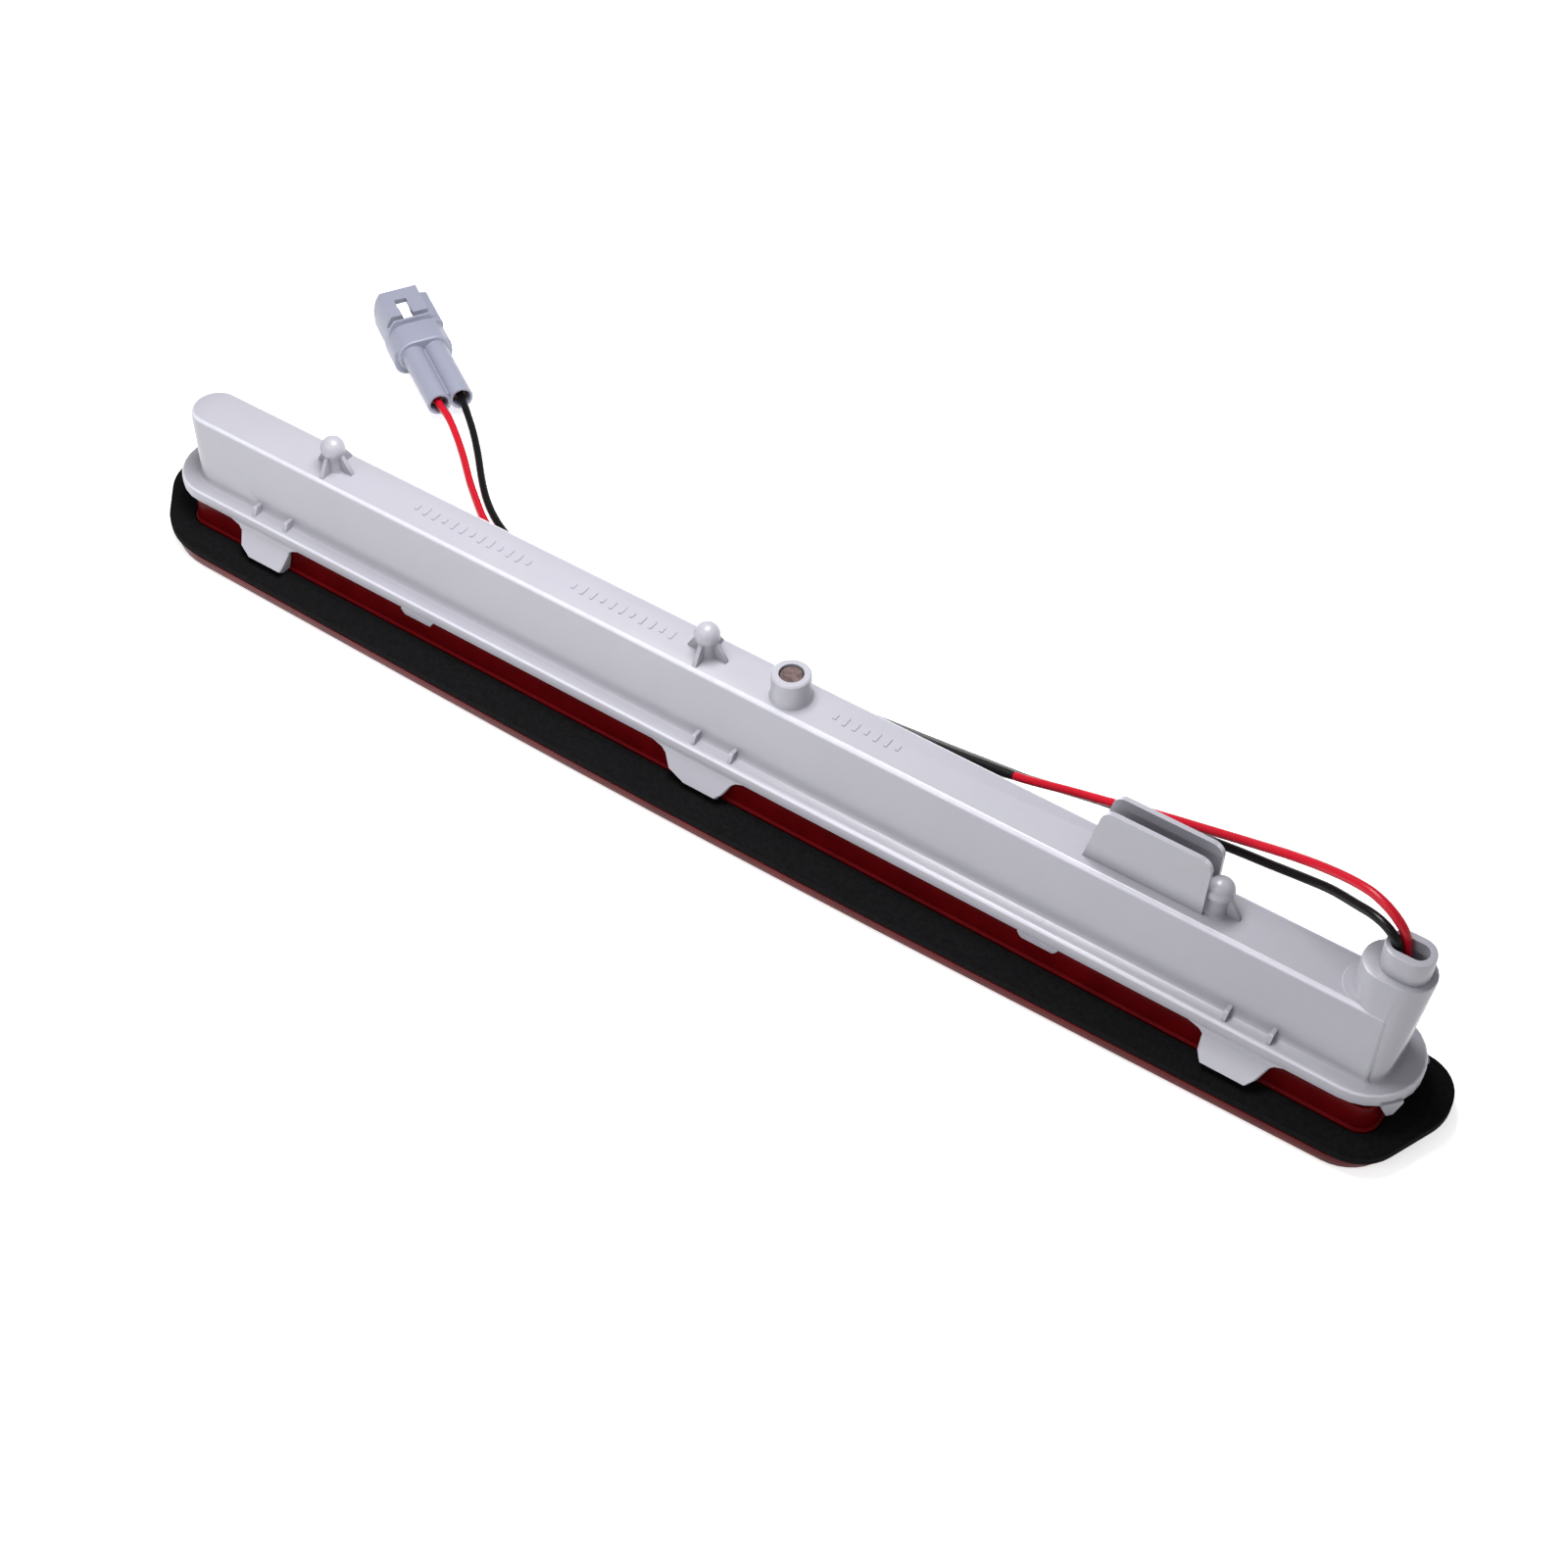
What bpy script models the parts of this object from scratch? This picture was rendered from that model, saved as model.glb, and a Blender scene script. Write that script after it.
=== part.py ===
"""High-mount stop lamp for a car, with its cable and sealed two-way connector.

The lamp lies on its lens, as on a bench: +X runs along it, +Y away from its front long side, +Z up
through its back. The origin is under the middle of the lens, on the surface that the lens rests on.
"""

import math

import bmesh
import bpy
import numpy as np
from mathutils import Matrix, Vector

MM = 0.001
GAP = 0.3 * MM  # clearance between pieces that touch on the real lamp

# Lens: a flange that the gasket lies on, and a tub that rises to the housing.
GASKET_HALF_LENGTH = 157.2 * MM
LENS_END_INSET = 1.7 * MM  # the flange ends this far inside the gasket's ends
GASKET_CORNERS = (  # x, y and arc radius, in millimetres, anticlockwise from the front
    (1.0, -18.0, 3900.0), (150.4, -15.0, 9.4), (158.1, 3.8, 12.0), (155.0, 13.9, 8.4),
    (1.0, 17.7, 3900.0), (-155.55, 14.85, 10.0), (-158.4, 0.8, 12.5), (-144.3, -16.2, 17.5),
)
FLANGE_TOP = 3.2 * MM
LENS_FLOOR = 2.6 * MM
GASKET_TOP = 5.5 * MM
TUB_TOP = 11.1 * MM
TUB_HALF_WIDTH = 11.5 * MM
TUB_ENDS = (-144.1 * MM, 148.3 * MM)
TUB_CORNER_RADIUS = 4.2 * MM
TUB_LEAN = 1.2 * MM
LEDGE_TOP = 5.7 * MM  # the tub's foot stands out as a narrow ledge inside the gasket
LEDGE_WIDTH = 0.4 * MM
TUB_WALL = 2.0 * MM

# Rear housing, centred a little behind the middle of the lens.
HOUSING_Y = 2.1 * MM
RIM_LOW = 11.4 * MM
RIM_TOP = 14.6 * MM
RIM_HALF_WIDTH = 10.95 * MM
RIM_LEFT = -150.9 * MM
RIM_RIGHT = 151.4 * MM
BODY_TOP = 31.0 * MM
BODY_FOOT_HALF_WIDTH = 7.3 * MM
BODY_TOP_HALF_WIDTH = 5.6 * MM
BODY_FOOT_LEFT = -145.8 * MM
BODY_TOP_LEFT = -146.1 * MM
BODY_RIGHT = 143.9 * MM
BODY_END_RADIUS = 0.8 * MM
HOUSING_WALL = 1.8 * MM
CAVITY_ENDS = (-142.2 * MM, 141.6 * MM)
CAVITY_HALF_WIDTH = 5.6 * MM

# Cable outlet: a tower, oval at its top and squarer at its foot, with a narrower collar on it.
OUTLET_Y = 2.4 * MM
TOWER_X = 141.85 * MM
TOWER_TOP = 39.3 * MM
TOWER_HALF_LENGTH = 6.85 * MM
TOWER_HALF_WIDTH = 5.1 * MM
TOWER_FOOT_HALF_WIDTH = 6.7 * MM
TOWER_FOOT_LEAN = 2.4 * MM
TOWER_FOOT_RADIUS = 3.5 * MM
COLLAR_X = 142.8 * MM
COLLAR_TOP = 44.8 * MM
COLLAR_HALF_LENGTH = 4.65 * MM
COLLAR_HALF_WIDTH = 3.5 * MM
OUTLET_X = 142.55 * MM
OUTLET_HALF_LENGTH = 3.55 * MM
OUTLET_HALF_WIDTH = 1.95 * MM
POCKET_X = 141.6 * MM
POCKET_HALF_LENGTH = 4.2 * MM
POCKET_HALF_WIDTH = 3.4 * MM
POCKET_TOP = 37.3 * MM
GROMMET_LOW = 31.8 * MM

# Ball-tipped locating pegs, breather boss and cable guide on the back.
PEG_XS = (-105.0 * MM, -6.2 * MM, 107.6 * MM)
PEG_BALL_RADIUS = 2.7 * MM
PEG_BALL_Z = 36.3 * MM
PEG_SHAFT_RADIUS = 2.05 * MM
FIN_REACH = 4.7 * MM
FIN_THICKNESS = 0.9 * MM
BOSS_X = 14.0 * MM
BOSS_TOP = 37.05 * MM
BOSS_RADIUS = 4.05 * MM
BOSS_BORE_RADIUS = 2.55 * MM
BREATHER_FLOOR = 33.0 * MM
GUIDE_X = (81.1 * MM, 106.3 * MM)
GUIDE_TOP = 45.0 * MM
GUIDE_YS = (-0.35 * MM, 4.2 * MM)
GUIDE_THICKNESS = 1.05 * MM
MARK_ROWS = ((-82.0, 13, 2.5), (-40.0, 11, 2.5), (24.5, 7, 2.4))  # left end, number and pitch, in millimetres
MARK_HEIGHT = 0.2 * MM

# Snap tabs hang from the rim on both long sides, each under a pair of ribs.
TABS = (  # left and right at the rim, left and right at the foot, reach from the housing's middle
    (-126.6 * MM, -112.4 * MM, -122.3 * MM, -112.9 * MM, 14.9 * MM),
    (-9.3 * MM, 7.4 * MM, -3.4 * MM, 4.9 * MM, 13.9 * MM),
    (113.7 * MM, 127.5 * MM, 115.3 * MM, 125.0 * MM, 15.1 * MM),
)
TAB_FOOT = 6.1 * MM
TAB_EDGE = 7.2 * MM  # the outer face ends here, above a chamfer
RIB_XS = (-119.0 * MM, 1.0 * MM, 121.0 * MM)
RIB_SPREAD = 4.55 * MM
RIB_THICKNESS = 0.85 * MM
RIB_TOP = 16.6 * MM
PAD_XS = (-75.6 * MM, 78.3 * MM)

# Circuit board with its parts, and the reflector between it and the lens.
BOARD_LOW = 13.0 * MM
BOARD_TOP = 14.6 * MM
BOARD_HALF_WIDTH = 5.2 * MM
BOARD_ENDS = (-138.2 * MM, 137.5 * MM)
LED_COUNT = 12
LED_PITCH = 23.0 * MM
SCREW_XS = (-115.0 * MM, -46.0 * MM, 46.0 * MM, 115.0 * MM)
POST_RADIUS = 2.3 * MM
REFLECTOR_LOW = 3.1 * MM
REFLECTOR_TOP = 10.9 * MM
REFLECTOR_HALF_WIDTH = 8.0 * MM
REFLECTOR_ENDS = (-140.2 * MM, 142.0 * MM)

# Cable: two wires, joined by a shrink sleeve behind the lamp.
WIRE_RADIUS = 0.9 * MM
SLEEVE_RADIUS = 1.7 * MM
WIRE_POINT_SPACING = 3.6 * MM
RED_HOLE = (142.6 * MM, OUTLET_Y)
BLACK_HOLE = (140.1 * MM, OUTLET_Y)
WIRE_JOINT_Z = 39.0 * MM

# Connector: its rear centre, the way it points, and its sizes along (u), across (v) and up (w).
PLUG_REAR = Vector((-121.3, 55.4, 0.0)) * MM
PLUG_ANGLE = math.radians(148.5)
PLUG_AXIS_HEIGHT = 5.75 * MM
TUBE_SPREAD = 2.75 * MM
TUBE_RADIUS = 2.85 * MM
TUBE_BORE_RADIUS = 2.25 * MM
TUBE_END = 23.0 * MM
BORE_END = 19.4 * MM
COLLAR_START = 19.8 * MM
FLANGE_START = 21.2 * MM
RECESS = (27.8 * MM, 29.5 * MM)  # a slot across the top, between the collar and the lock plate
RECESS_FLOOR = 8.2 * MM
PLUG_LENGTH = 39.6 * MM
WINDOW_V = 0.7 * MM
WINDOW_HALF_WIDTH = 1.45 * MM
WINDOW = (27.9 * MM, 35.7 * MM)
LUG = (28.2 * MM, 33.6 * MM)  # the retainer's white lug, seen in the window
LUG_TOP = 10.4 * MM
RETAINER_START = 27.0 * MM
RETAINER_END = 35.6 * MM
WIRE_DEPTH = 10.2 * MM

# Cable routes, from the lamp to the connector.
RED_LAMP_ROUTE = (
    (142.4, 2.6, 39.3), (142.1, 3.2, 42.2), (141.5, 3.35, 44.7), (140.5, 3.4, 46.9),
    (138.7, 3.6, 48.7), (136.3, 4.2, 49.8), (133.0, 5.3, 50.0), (128.5, 6.9, 48.7),
    (122.8, 8.7, 46.4), (116.0, 11.0, 42.8), (107.0, 13.8, 37.7), (97.0, 15.9, 33.0),
    (87.0, 17.6, 28.7), (77.0, 19.1, 24.2), (66.8, 20.5, 19.9), (55.4, 21.4, 15.7),
)
BLACK_LAMP_ROUTE = (
    (140.5, 2.1, 39.3), (140.95, 1.6, 42.0), (140.6, 1.7, 44.6), (139.8, 1.7, 46.0),
    (138.6, 1.9, 46.95), (137.1, 2.4, 47.35), (134.6, 3.4, 47.1), (130.8, 5.1, 45.6),
    (125.4, 7.6, 43.2), (119.0, 10.0, 39.9), (112.0, 12.5, 36.2), (104.0, 15.0, 32.5),
    (95.0, 17.1, 28.8), (86.0, 19.0, 25.1), (76.5, 20.9, 21.5), (66.8, 22.2, 17.9),
    (55.4, 23.1, 14.2),
)
SLEEVE_ROUTE = (
    (54.6, 22.2, 14.9), (45.2, 22.8, 12.8), (35.0, 23.4, 10.7), (24.6, 24.0, 8.7),
    (13.0, 24.8, 6.5), (0.0, 25.4, 4.3), (-13.0, 25.9, 2.8), (-27.0, 26.2, 2.0),
    (-44.0, 26.3, 1.8), (-61.0, 26.3, 1.8),
)
RED_PLUG_ROUTE = (
    (-61.5, 25.2, 1.5), (-68.0, 25.1, 1.1), (-76.0, 25.7, 1.0), (-84.5, 27.8, 1.0),
    (-91.5, 31.3, 1.0), (-97.6, 35.6, 1.1), (-103.0, 39.7, 1.7), (-108.4, 44.2, 2.9),
    (-113.6, 48.0, 4.2), (-118.4, 51.0, 5.3),
)
BLACK_PLUG_ROUTE = (
    (-61.5, 27.4, 1.5), (-68.0, 27.5, 1.1), (-76.0, 28.3, 1.0), (-83.5, 30.2, 1.0),
    (-90.0, 33.3, 1.0), (-96.0, 37.4, 1.1), (-101.0, 41.8, 1.6), (-105.9, 46.6, 2.8),
    (-110.6, 50.8, 4.1), (-115.4, 54.5, 5.3),
)

ARC_STEPS = 7
CIRCLE_STEPS = 24
NUDGE = 0.5 * MM  # how far a cutter or an added shape runs past the surface it meets


# ---------------------------------------------------------------- scene, materials, collections


def clear_scene():
    """Removes every object, so that the script starts from nothing."""
    for item in list(bpy.data.objects):
        bpy.data.objects.remove(item)


def new_collection(name, parent, hidden=False):
    """A collection under parent; a hidden one holds helpers that aren't part of the lamp."""
    collection = bpy.data.collections.new(name)
    parent.children.link(collection)
    collection.hide_render = hidden
    return collection


def new_material(name, colour, roughness, metallic=0.0):
    """A plain Principled material."""
    material = bpy.data.materials.new(name)
    material.use_nodes = True
    shader = material.node_tree.nodes["Principled BSDF"]
    shader.inputs["Base Color"].default_value = (*colour, 1.0)
    shader.inputs["Roughness"].default_value = roughness
    shader.inputs["Metallic"].default_value = metallic
    return material


clear_scene()
LAMP = new_collection("third_brake_light", bpy.context.scene.collection)
CUTTERS = new_collection("cutters", bpy.context.scene.collection, hidden=True)

GREY_PLASTIC = new_material("grey_plastic", (0.62, 0.61, 0.67), 0.4)
RED_LENS = new_material("red_lens", (0.35, 0.01, 0.02), 0.08)
BLACK_FOAM = new_material("black_foam", (0.012, 0.013, 0.015), 0.95)
BREATHER_FOAM = new_material("breather_foam", (0.13, 0.09, 0.09), 0.95)
BRIGHT_METAL = new_material("bright_metal", (0.85, 0.85, 0.87), 0.12, 1.0)
BOARD_GREEN = new_material("board_green", (0.02, 0.16, 0.07), 0.5)
LED_WHITE = new_material("led_white", (0.85, 0.82, 0.75), 0.35)
RESISTOR_BLACK = new_material("resistor_black", (0.02, 0.02, 0.02), 0.5)
SCREW_STEEL = new_material("screw_steel", (0.55, 0.55, 0.57), 0.3, 1.0)
RUBBER = new_material("rubber", (0.03, 0.03, 0.03), 0.8)
RED_WIRE = new_material("red_wire", (0.65, 0.02, 0.05), 0.35)
BLACK_WIRE = new_material("black_wire", (0.015, 0.013, 0.013), 0.35)
SLEEVE_BLACK = new_material("sleeve_black", (0.02, 0.02, 0.02), 0.55)
CONNECTOR_GREY = new_material("connector_grey", (0.42, 0.43, 0.52), 0.45)
NATURAL_NYLON = new_material("natural_nylon", (0.85, 0.84, 0.8), 0.5)
SEAL_BROWN = new_material("seal_brown", (0.2, 0.08, 0.06), 0.7)
TINNED_BRASS = new_material("tinned_brass", (0.75, 0.72, 0.65), 0.3, 1.0)


def add_object(name, mesh, material, collection=LAMP):
    """Puts a mesh in a collection as an object, shaded smooth across its gentle edges."""
    item = bpy.data.objects.new(name, mesh)
    collection.objects.link(item)
    if material is not None:
        mesh.materials.append(material)
    mesh.shade_smooth()
    mesh.set_sharp_from_angle(angle=math.radians(35))
    if collection is not LAMP:
        item.hide_render = True
        item.display_type = "WIRE"
    return item


def helpers(name):
    """A hidden collection for the shapes that one Boolean adds or cuts."""
    return new_collection(name, CUTTERS, hidden=True)


def combine(item, operation, collection):
    """A Boolean of item with everything in a collection."""
    modifier = item.modifiers.new(collection.name, "BOOLEAN")
    modifier.operation = operation
    modifier.solver = "EXACT"
    modifier.operand_type = "COLLECTION"
    modifier.collection = collection


# ---------------------------------------------------------------- outlines, in X and Y


def rounded_outline(corners, steps=ARC_STEPS):
    """Points anticlockwise round a polygon of corners (x, y, radius), each corner turned into an arc."""
    points = []
    for before, here, after in zip(corners[-1:] + corners[:-1], corners, corners[1:] + corners[:1]):
        corner = Vector(here[:2])
        back = (Vector(before[:2]) - corner).normalized()
        ahead = (Vector(after[:2]) - corner).normalized()
        half = back.angle(ahead) / 2
        centre = corner + (back + ahead).normalized() * here[2] / math.sin(half)
        arm = corner + back * here[2] / math.tan(half) - centre
        turn = math.pi - 2 * half
        if ahead.cross(back) < 0:
            turn = -turn
        for step in range(steps + 1):
            point = centre + Matrix.Rotation(turn * step / steps, 2) @ arm
            if not points or (point - points[-1]).length > 1e-6:
                points.append(point)
            if here[2] == 0:
                break
    if (points[0] - points[-1]).length < 1e-6:
        points.pop()
    return [(point.x, point.y) for point in points]


def bar_outline(left, right, half_width, right_radius=None, y=HOUSING_Y, steps=2 * ARC_STEPS):
    """A bar along X with a round left end and, unless right_radius is given, a round right end."""
    points = []
    ends = [(right, right_radius or half_width, -90.0), (left, half_width, 90.0)]
    for edge, radius, first in ends:
        side = 1 if first < 0 else -1
        for step in range(steps + 1):
            angle = math.radians(first + 180.0 * step / steps)
            x = edge - side * radius + radius * math.cos(angle)
            flat = math.copysign(half_width - radius, math.sin(angle))
            points.append((x, y + flat + radius * math.sin(angle)))
    return points


def circle_outline(x, y, radius, steps=CIRCLE_STEPS):
    """A circle."""
    angles = [2 * math.pi * step / steps for step in range(steps)]
    return [(x + radius * math.cos(angle), y + radius * math.sin(angle)) for angle in angles]


def lamp_outline(end_inset=0.0, side_inset=0.0):
    """The outline of lens and gasket, bowed along its sides, drawn in by an inset at ends and sides."""
    stretch = 1 - end_inset / GASKET_HALF_LENGTH
    corners = [
        (x * MM * stretch, y * MM - math.copysign(side_inset, y), radius * MM)
        for x, y, radius in GASKET_CORNERS
    ]
    return rounded_outline(corners)


# ---------------------------------------------------------------- solids


def loft(name, sections, material=None, collection=LAMP):
    """A closed solid through sections (z, outline) from low to high, each outline of as many points."""
    shape = bmesh.new()
    rings = [[shape.verts.new((x, y, z)) for x, y in outline] for z, outline in sections]
    for low, high in zip(rings, rings[1:]):
        for here in range(len(low)):
            after = (here + 1) % len(low)
            shape.faces.new((low[here], low[after], high[after], high[here]))
    shape.faces.new(reversed(rings[0]))
    shape.faces.new(rings[-1])
    mesh = bpy.data.meshes.new(name)
    shape.to_mesh(mesh)
    shape.free()
    return add_object(name, mesh, material, collection)


def block(name, low, high, material=None, collection=LAMP, matrix=None, edge=0.0):
    """A box between two corners, optionally with bevelled edges and moved by a matrix."""
    shape = bmesh.new()
    size = Vector(high) - Vector(low)
    bmesh.ops.create_cube(shape, size=1.0)
    bmesh.ops.scale(shape, vec=size, verts=shape.verts)
    bmesh.ops.translate(shape, vec=(Vector(low) + Vector(high)) / 2, verts=shape.verts)
    mesh = bpy.data.meshes.new(name)
    shape.to_mesh(mesh)
    shape.free()
    if matrix is not None:
        mesh.transform(matrix)
    item = add_object(name, mesh, material, collection)
    if edge:
        bevel = item.modifiers.new("edges", "BEVEL")
        bevel.width = edge
        bevel.segments = 1
    return item


def turned(name, profile, place, material=None, collection=LAMP, steps=CIRCLE_STEPS):
    """A turned solid: profile (radius, z) runs down its outer side, and place moves it from the Z axis."""
    mesh = bpy.data.meshes.new(name)
    edges = [(index, index + 1) for index in range(len(profile) - 1)]
    mesh.from_pydata([(radius, 0.0, z) for radius, z in profile], edges, [])
    item = add_object(name, mesh, material, collection)
    item.matrix_world = place
    screw = item.modifiers.new("turn", "SCREW")
    screw.steps = steps
    screw.render_steps = steps
    screw.use_merge_vertices = True
    screw.merge_threshold = 1e-6
    screw.use_smooth_shade = True
    return item


def plate(name, outline, thickness, matrix, material=None, collection=LAMP):
    """A flat outline in its own X and Y, thickened evenly to both sides, then placed by a matrix."""
    curve = bpy.data.curves.new(name, "CURVE")
    curve.dimensions = "2D"
    curve.fill_mode = "BOTH"
    curve.extrude = thickness / 2
    spline = curve.splines.new("POLY")
    spline.points.add(len(outline) - 1)
    for point, (x, y) in zip(spline.points, outline):
        point.co = (x, y, 0.0, 1.0)
    spline.use_cyclic_u = True
    source = bpy.data.objects.new(name, curve)
    LAMP.objects.link(source)
    mesh = bpy.data.meshes.new_from_object(source.evaluated_get(bpy.context.evaluated_depsgraph_get()))
    bpy.data.objects.remove(source)
    shape = bmesh.new()
    shape.from_mesh(mesh)
    bmesh.ops.remove_doubles(shape, verts=shape.verts, dist=1e-6)
    bmesh.ops.recalc_face_normals(shape, faces=shape.faces)
    shape.to_mesh(mesh)
    shape.free()
    mesh.transform(matrix)
    return add_object(name, mesh, material, collection)


def smooth_points(route, spacing):
    """Points at an even spacing along a smooth curve through a route's points."""
    knots = np.array(route, float)
    chords = np.linalg.norm(np.diff(knots, axis=0), axis=1)
    times = np.concatenate([[0.0], np.cumsum(np.sqrt(chords))])
    slopes = np.gradient(knots, times, axis=0)
    fine = []
    for index in range(len(knots) - 1):
        step = times[index + 1] - times[index]
        for t in np.linspace(0.0, 1.0, 20, endpoint=False):
            fine.append(
                (2 * t**3 - 3 * t**2 + 1) * knots[index]
                + (t**3 - 2 * t**2 + t) * step * slopes[index]
                + (3 * t**2 - 2 * t**3) * knots[index + 1]
                + (t**3 - t**2) * step * slopes[index + 1]
            )
    fine = np.array(fine + [knots[-1]])
    along = np.concatenate([[0.0], np.cumsum(np.linalg.norm(np.diff(fine, axis=0), axis=1))])
    places = np.linspace(0.0, along[-1], max(3, round(along[-1] / spacing) + 1))
    return np.column_stack([np.interp(places, along, fine[:, axis]) for axis in range(3)])


def wire(name, route, radius, material):
    """A round wire, as a curve with filled ends, along a route in metres."""
    points = smooth_points(route, WIRE_POINT_SPACING)
    curve = bpy.data.curves.new(name, "CURVE")
    curve.dimensions = "3D"
    curve.bevel_depth = radius
    curve.bevel_resolution = 2
    curve.use_fill_caps = True
    spline = curve.splines.new("POLY")
    spline.points.add(len(points) - 1)
    for point, place in zip(spline.points, points):
        point.co = (*place, 1.0)
    item = bpy.data.objects.new(name, curve)
    LAMP.objects.link(item)
    curve.materials.append(material)
    return item


def in_metres(route):
    """A route's points, given in millimetres, in metres."""
    return [tuple(value * MM for value in point) for point in route]


# ---------------------------------------------------------------- lens and gasket


def tub_outline(inset):
    """The outline of the lens's tub, drawn in by an inset: long, with rounded corners."""
    left, right = TUB_ENDS
    half = TUB_HALF_WIDTH - inset
    radius = TUB_CORNER_RADIUS - inset
    return rounded_outline([
        (left + inset, HOUSING_Y - half, radius),
        (right - inset, HOUSING_Y - half, radius),
        (right - inset, HOUSING_Y + half, radius),
        (left + inset, HOUSING_Y + half, radius),
    ])


def make_lens():
    """The red lens: a flange with a rounded lower edge, and a tub whose walls lean inwards."""
    edge = ((0.0, 1.1 * MM), (0.35 * MM, 0.4 * MM), (1.0 * MM, 0.05 * MM), (FLANGE_TOP, 0.0))
    sections = [(z, lamp_outline(LENS_END_INSET + inset, inset)) for z, inset in edge]
    lens = loft("lens", sections, RED_LENS)
    tub = helpers("lens_tub")
    sections = [
        (1.0 * MM, tub_outline(0.0)),
        (LEDGE_TOP, tub_outline(0.0)),
        (LEDGE_TOP + 0.3 * MM, tub_outline(LEDGE_WIDTH)),
        (TUB_TOP, tub_outline(TUB_LEAN)),
    ]
    loft("lens_tub_outside", sections, None, tub)
    combine(lens, "UNION", tub)
    hollow = helpers("lens_hollow")
    mouth = tub_outline(TUB_LEAN + TUB_WALL)
    sections = [(LENS_FLOOR, tub_outline(TUB_WALL)), (TUB_TOP, mouth), (TUB_TOP + NUDGE, mouth)]
    loft("lens_inside", sections, None, hollow)
    combine(lens, "DIFFERENCE", hollow)


def make_gasket():
    """The foam ring that lies on the lens flange and seals against the car's panel."""
    outside = lamp_outline()
    low = FLANGE_TOP + GAP
    edge = 0.25 * MM
    sections = [(low, outside), (GASKET_TOP - edge, outside), (GASKET_TOP, lamp_outline(edge, edge))]
    gasket = loft("foam_gasket", sections, BLACK_FOAM)
    hole = helpers("gasket_hole")
    inside = tub_outline(-0.35 * MM)
    loft("gasket_inside", [(low - NUDGE, inside), (GASKET_TOP + NUDGE, inside)], None, hole)
    combine(gasket, "DIFFERENCE", hole)


# ---------------------------------------------------------------- rear housing


def body_outline(lean, inset=0.0, right=BODY_RIGHT):
    """The body's outline where its walls have leant in by a share of their full lean."""
    half = BODY_FOOT_HALF_WIDTH + (BODY_TOP_HALF_WIDTH - BODY_FOOT_HALF_WIDTH) * lean
    left = BODY_FOOT_LEFT + (BODY_TOP_LEFT - BODY_FOOT_LEFT) * lean
    return bar_outline(left + inset, right - inset, half - inset, right_radius=BODY_END_RADIUS)


def add_body(shapes):
    """The long raised body, with a fillet at its foot and a rounded top edge."""
    sections = [
        (RIM_TOP - NUDGE, body_outline(0.0, -0.7 * MM)),
        (RIM_TOP, body_outline(0.0, -0.7 * MM)),
        (RIM_TOP + 0.3 * MM, body_outline(0.0, -0.2 * MM)),
        (RIM_TOP + 0.9 * MM, body_outline(0.05)),
        (BODY_TOP - 1.0 * MM, body_outline(0.95)),
        (BODY_TOP - 0.55 * MM, body_outline(0.97, 0.12 * MM)),
        (BODY_TOP - 0.2 * MM, body_outline(0.99, 0.4 * MM)),
        (BODY_TOP, body_outline(1.0, 0.9 * MM)),
    ]
    loft("body", sections, None, shapes)


def add_outlet(shapes):
    """The cable tower, a little fillet at its foot, and the collar on it."""
    left = TOWER_X - TOWER_HALF_LENGTH
    right = TOWER_X + TOWER_HALF_LENGTH

    def ring(lean, inset=0.0):
        half = TOWER_FOOT_HALF_WIDTH + (TOWER_HALF_WIDTH - TOWER_FOOT_HALF_WIDTH) * lean
        radius = TOWER_FOOT_RADIUS + (TOWER_HALF_WIDTH - TOWER_FOOT_RADIUS) * lean
        edge = right - TOWER_FOOT_LEAN * (1 - lean)
        y = HOUSING_Y + (OUTLET_Y - HOUSING_Y) * lean
        return bar_outline(left + inset, edge - inset, half - inset, radius - inset, y)

    sections = [
        (RIM_TOP - NUDGE, ring(0.0, -0.5 * MM)),
        (RIM_TOP, ring(0.0, -0.5 * MM)),
        (RIM_TOP + 0.8 * MM, ring(0.03)),
        (TOWER_TOP - 0.6 * MM, ring(1.0)),
        (TOWER_TOP - 0.15 * MM, ring(1.0, 0.15 * MM)),
        (TOWER_TOP, ring(1.0, 0.6 * MM)),
    ]
    loft("tower", sections, None, shapes)

    def skirt_ring(spread, trim, half_width):
        return bar_outline(left - spread, right - trim, half_width, y=OUTLET_Y)

    skirt = [
        (BODY_TOP - NUDGE, skirt_ring(2.2 * MM, 0.7 * MM, TOWER_HALF_WIDTH)),
        (BODY_TOP, skirt_ring(2.2 * MM, 0.7 * MM, TOWER_HALF_WIDTH)),
        (BODY_TOP + 0.9 * MM, skirt_ring(0.9 * MM, 0.7 * MM, TOWER_HALF_WIDTH - 0.1 * MM)),
        (BODY_TOP + 2.4 * MM, skirt_ring(-0.1 * MM, 0.7 * MM, TOWER_HALF_WIDTH - 0.2 * MM)),
    ]
    loft("tower_fillet", skirt, None, shapes)

    def collar_ring(inset=0.0):
        half_length = COLLAR_HALF_LENGTH - inset
        left, right = COLLAR_X - half_length, COLLAR_X + half_length
        return bar_outline(left, right, COLLAR_HALF_WIDTH - inset, y=OUTLET_Y)

    sections = [
        (TOWER_TOP - NUDGE, collar_ring()),
        (COLLAR_TOP - 0.4 * MM, collar_ring()),
        (COLLAR_TOP - 0.1 * MM, collar_ring(0.1 * MM)),
        (COLLAR_TOP, collar_ring(0.4 * MM)),
    ]
    loft("collar", sections, None, shapes)


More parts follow.
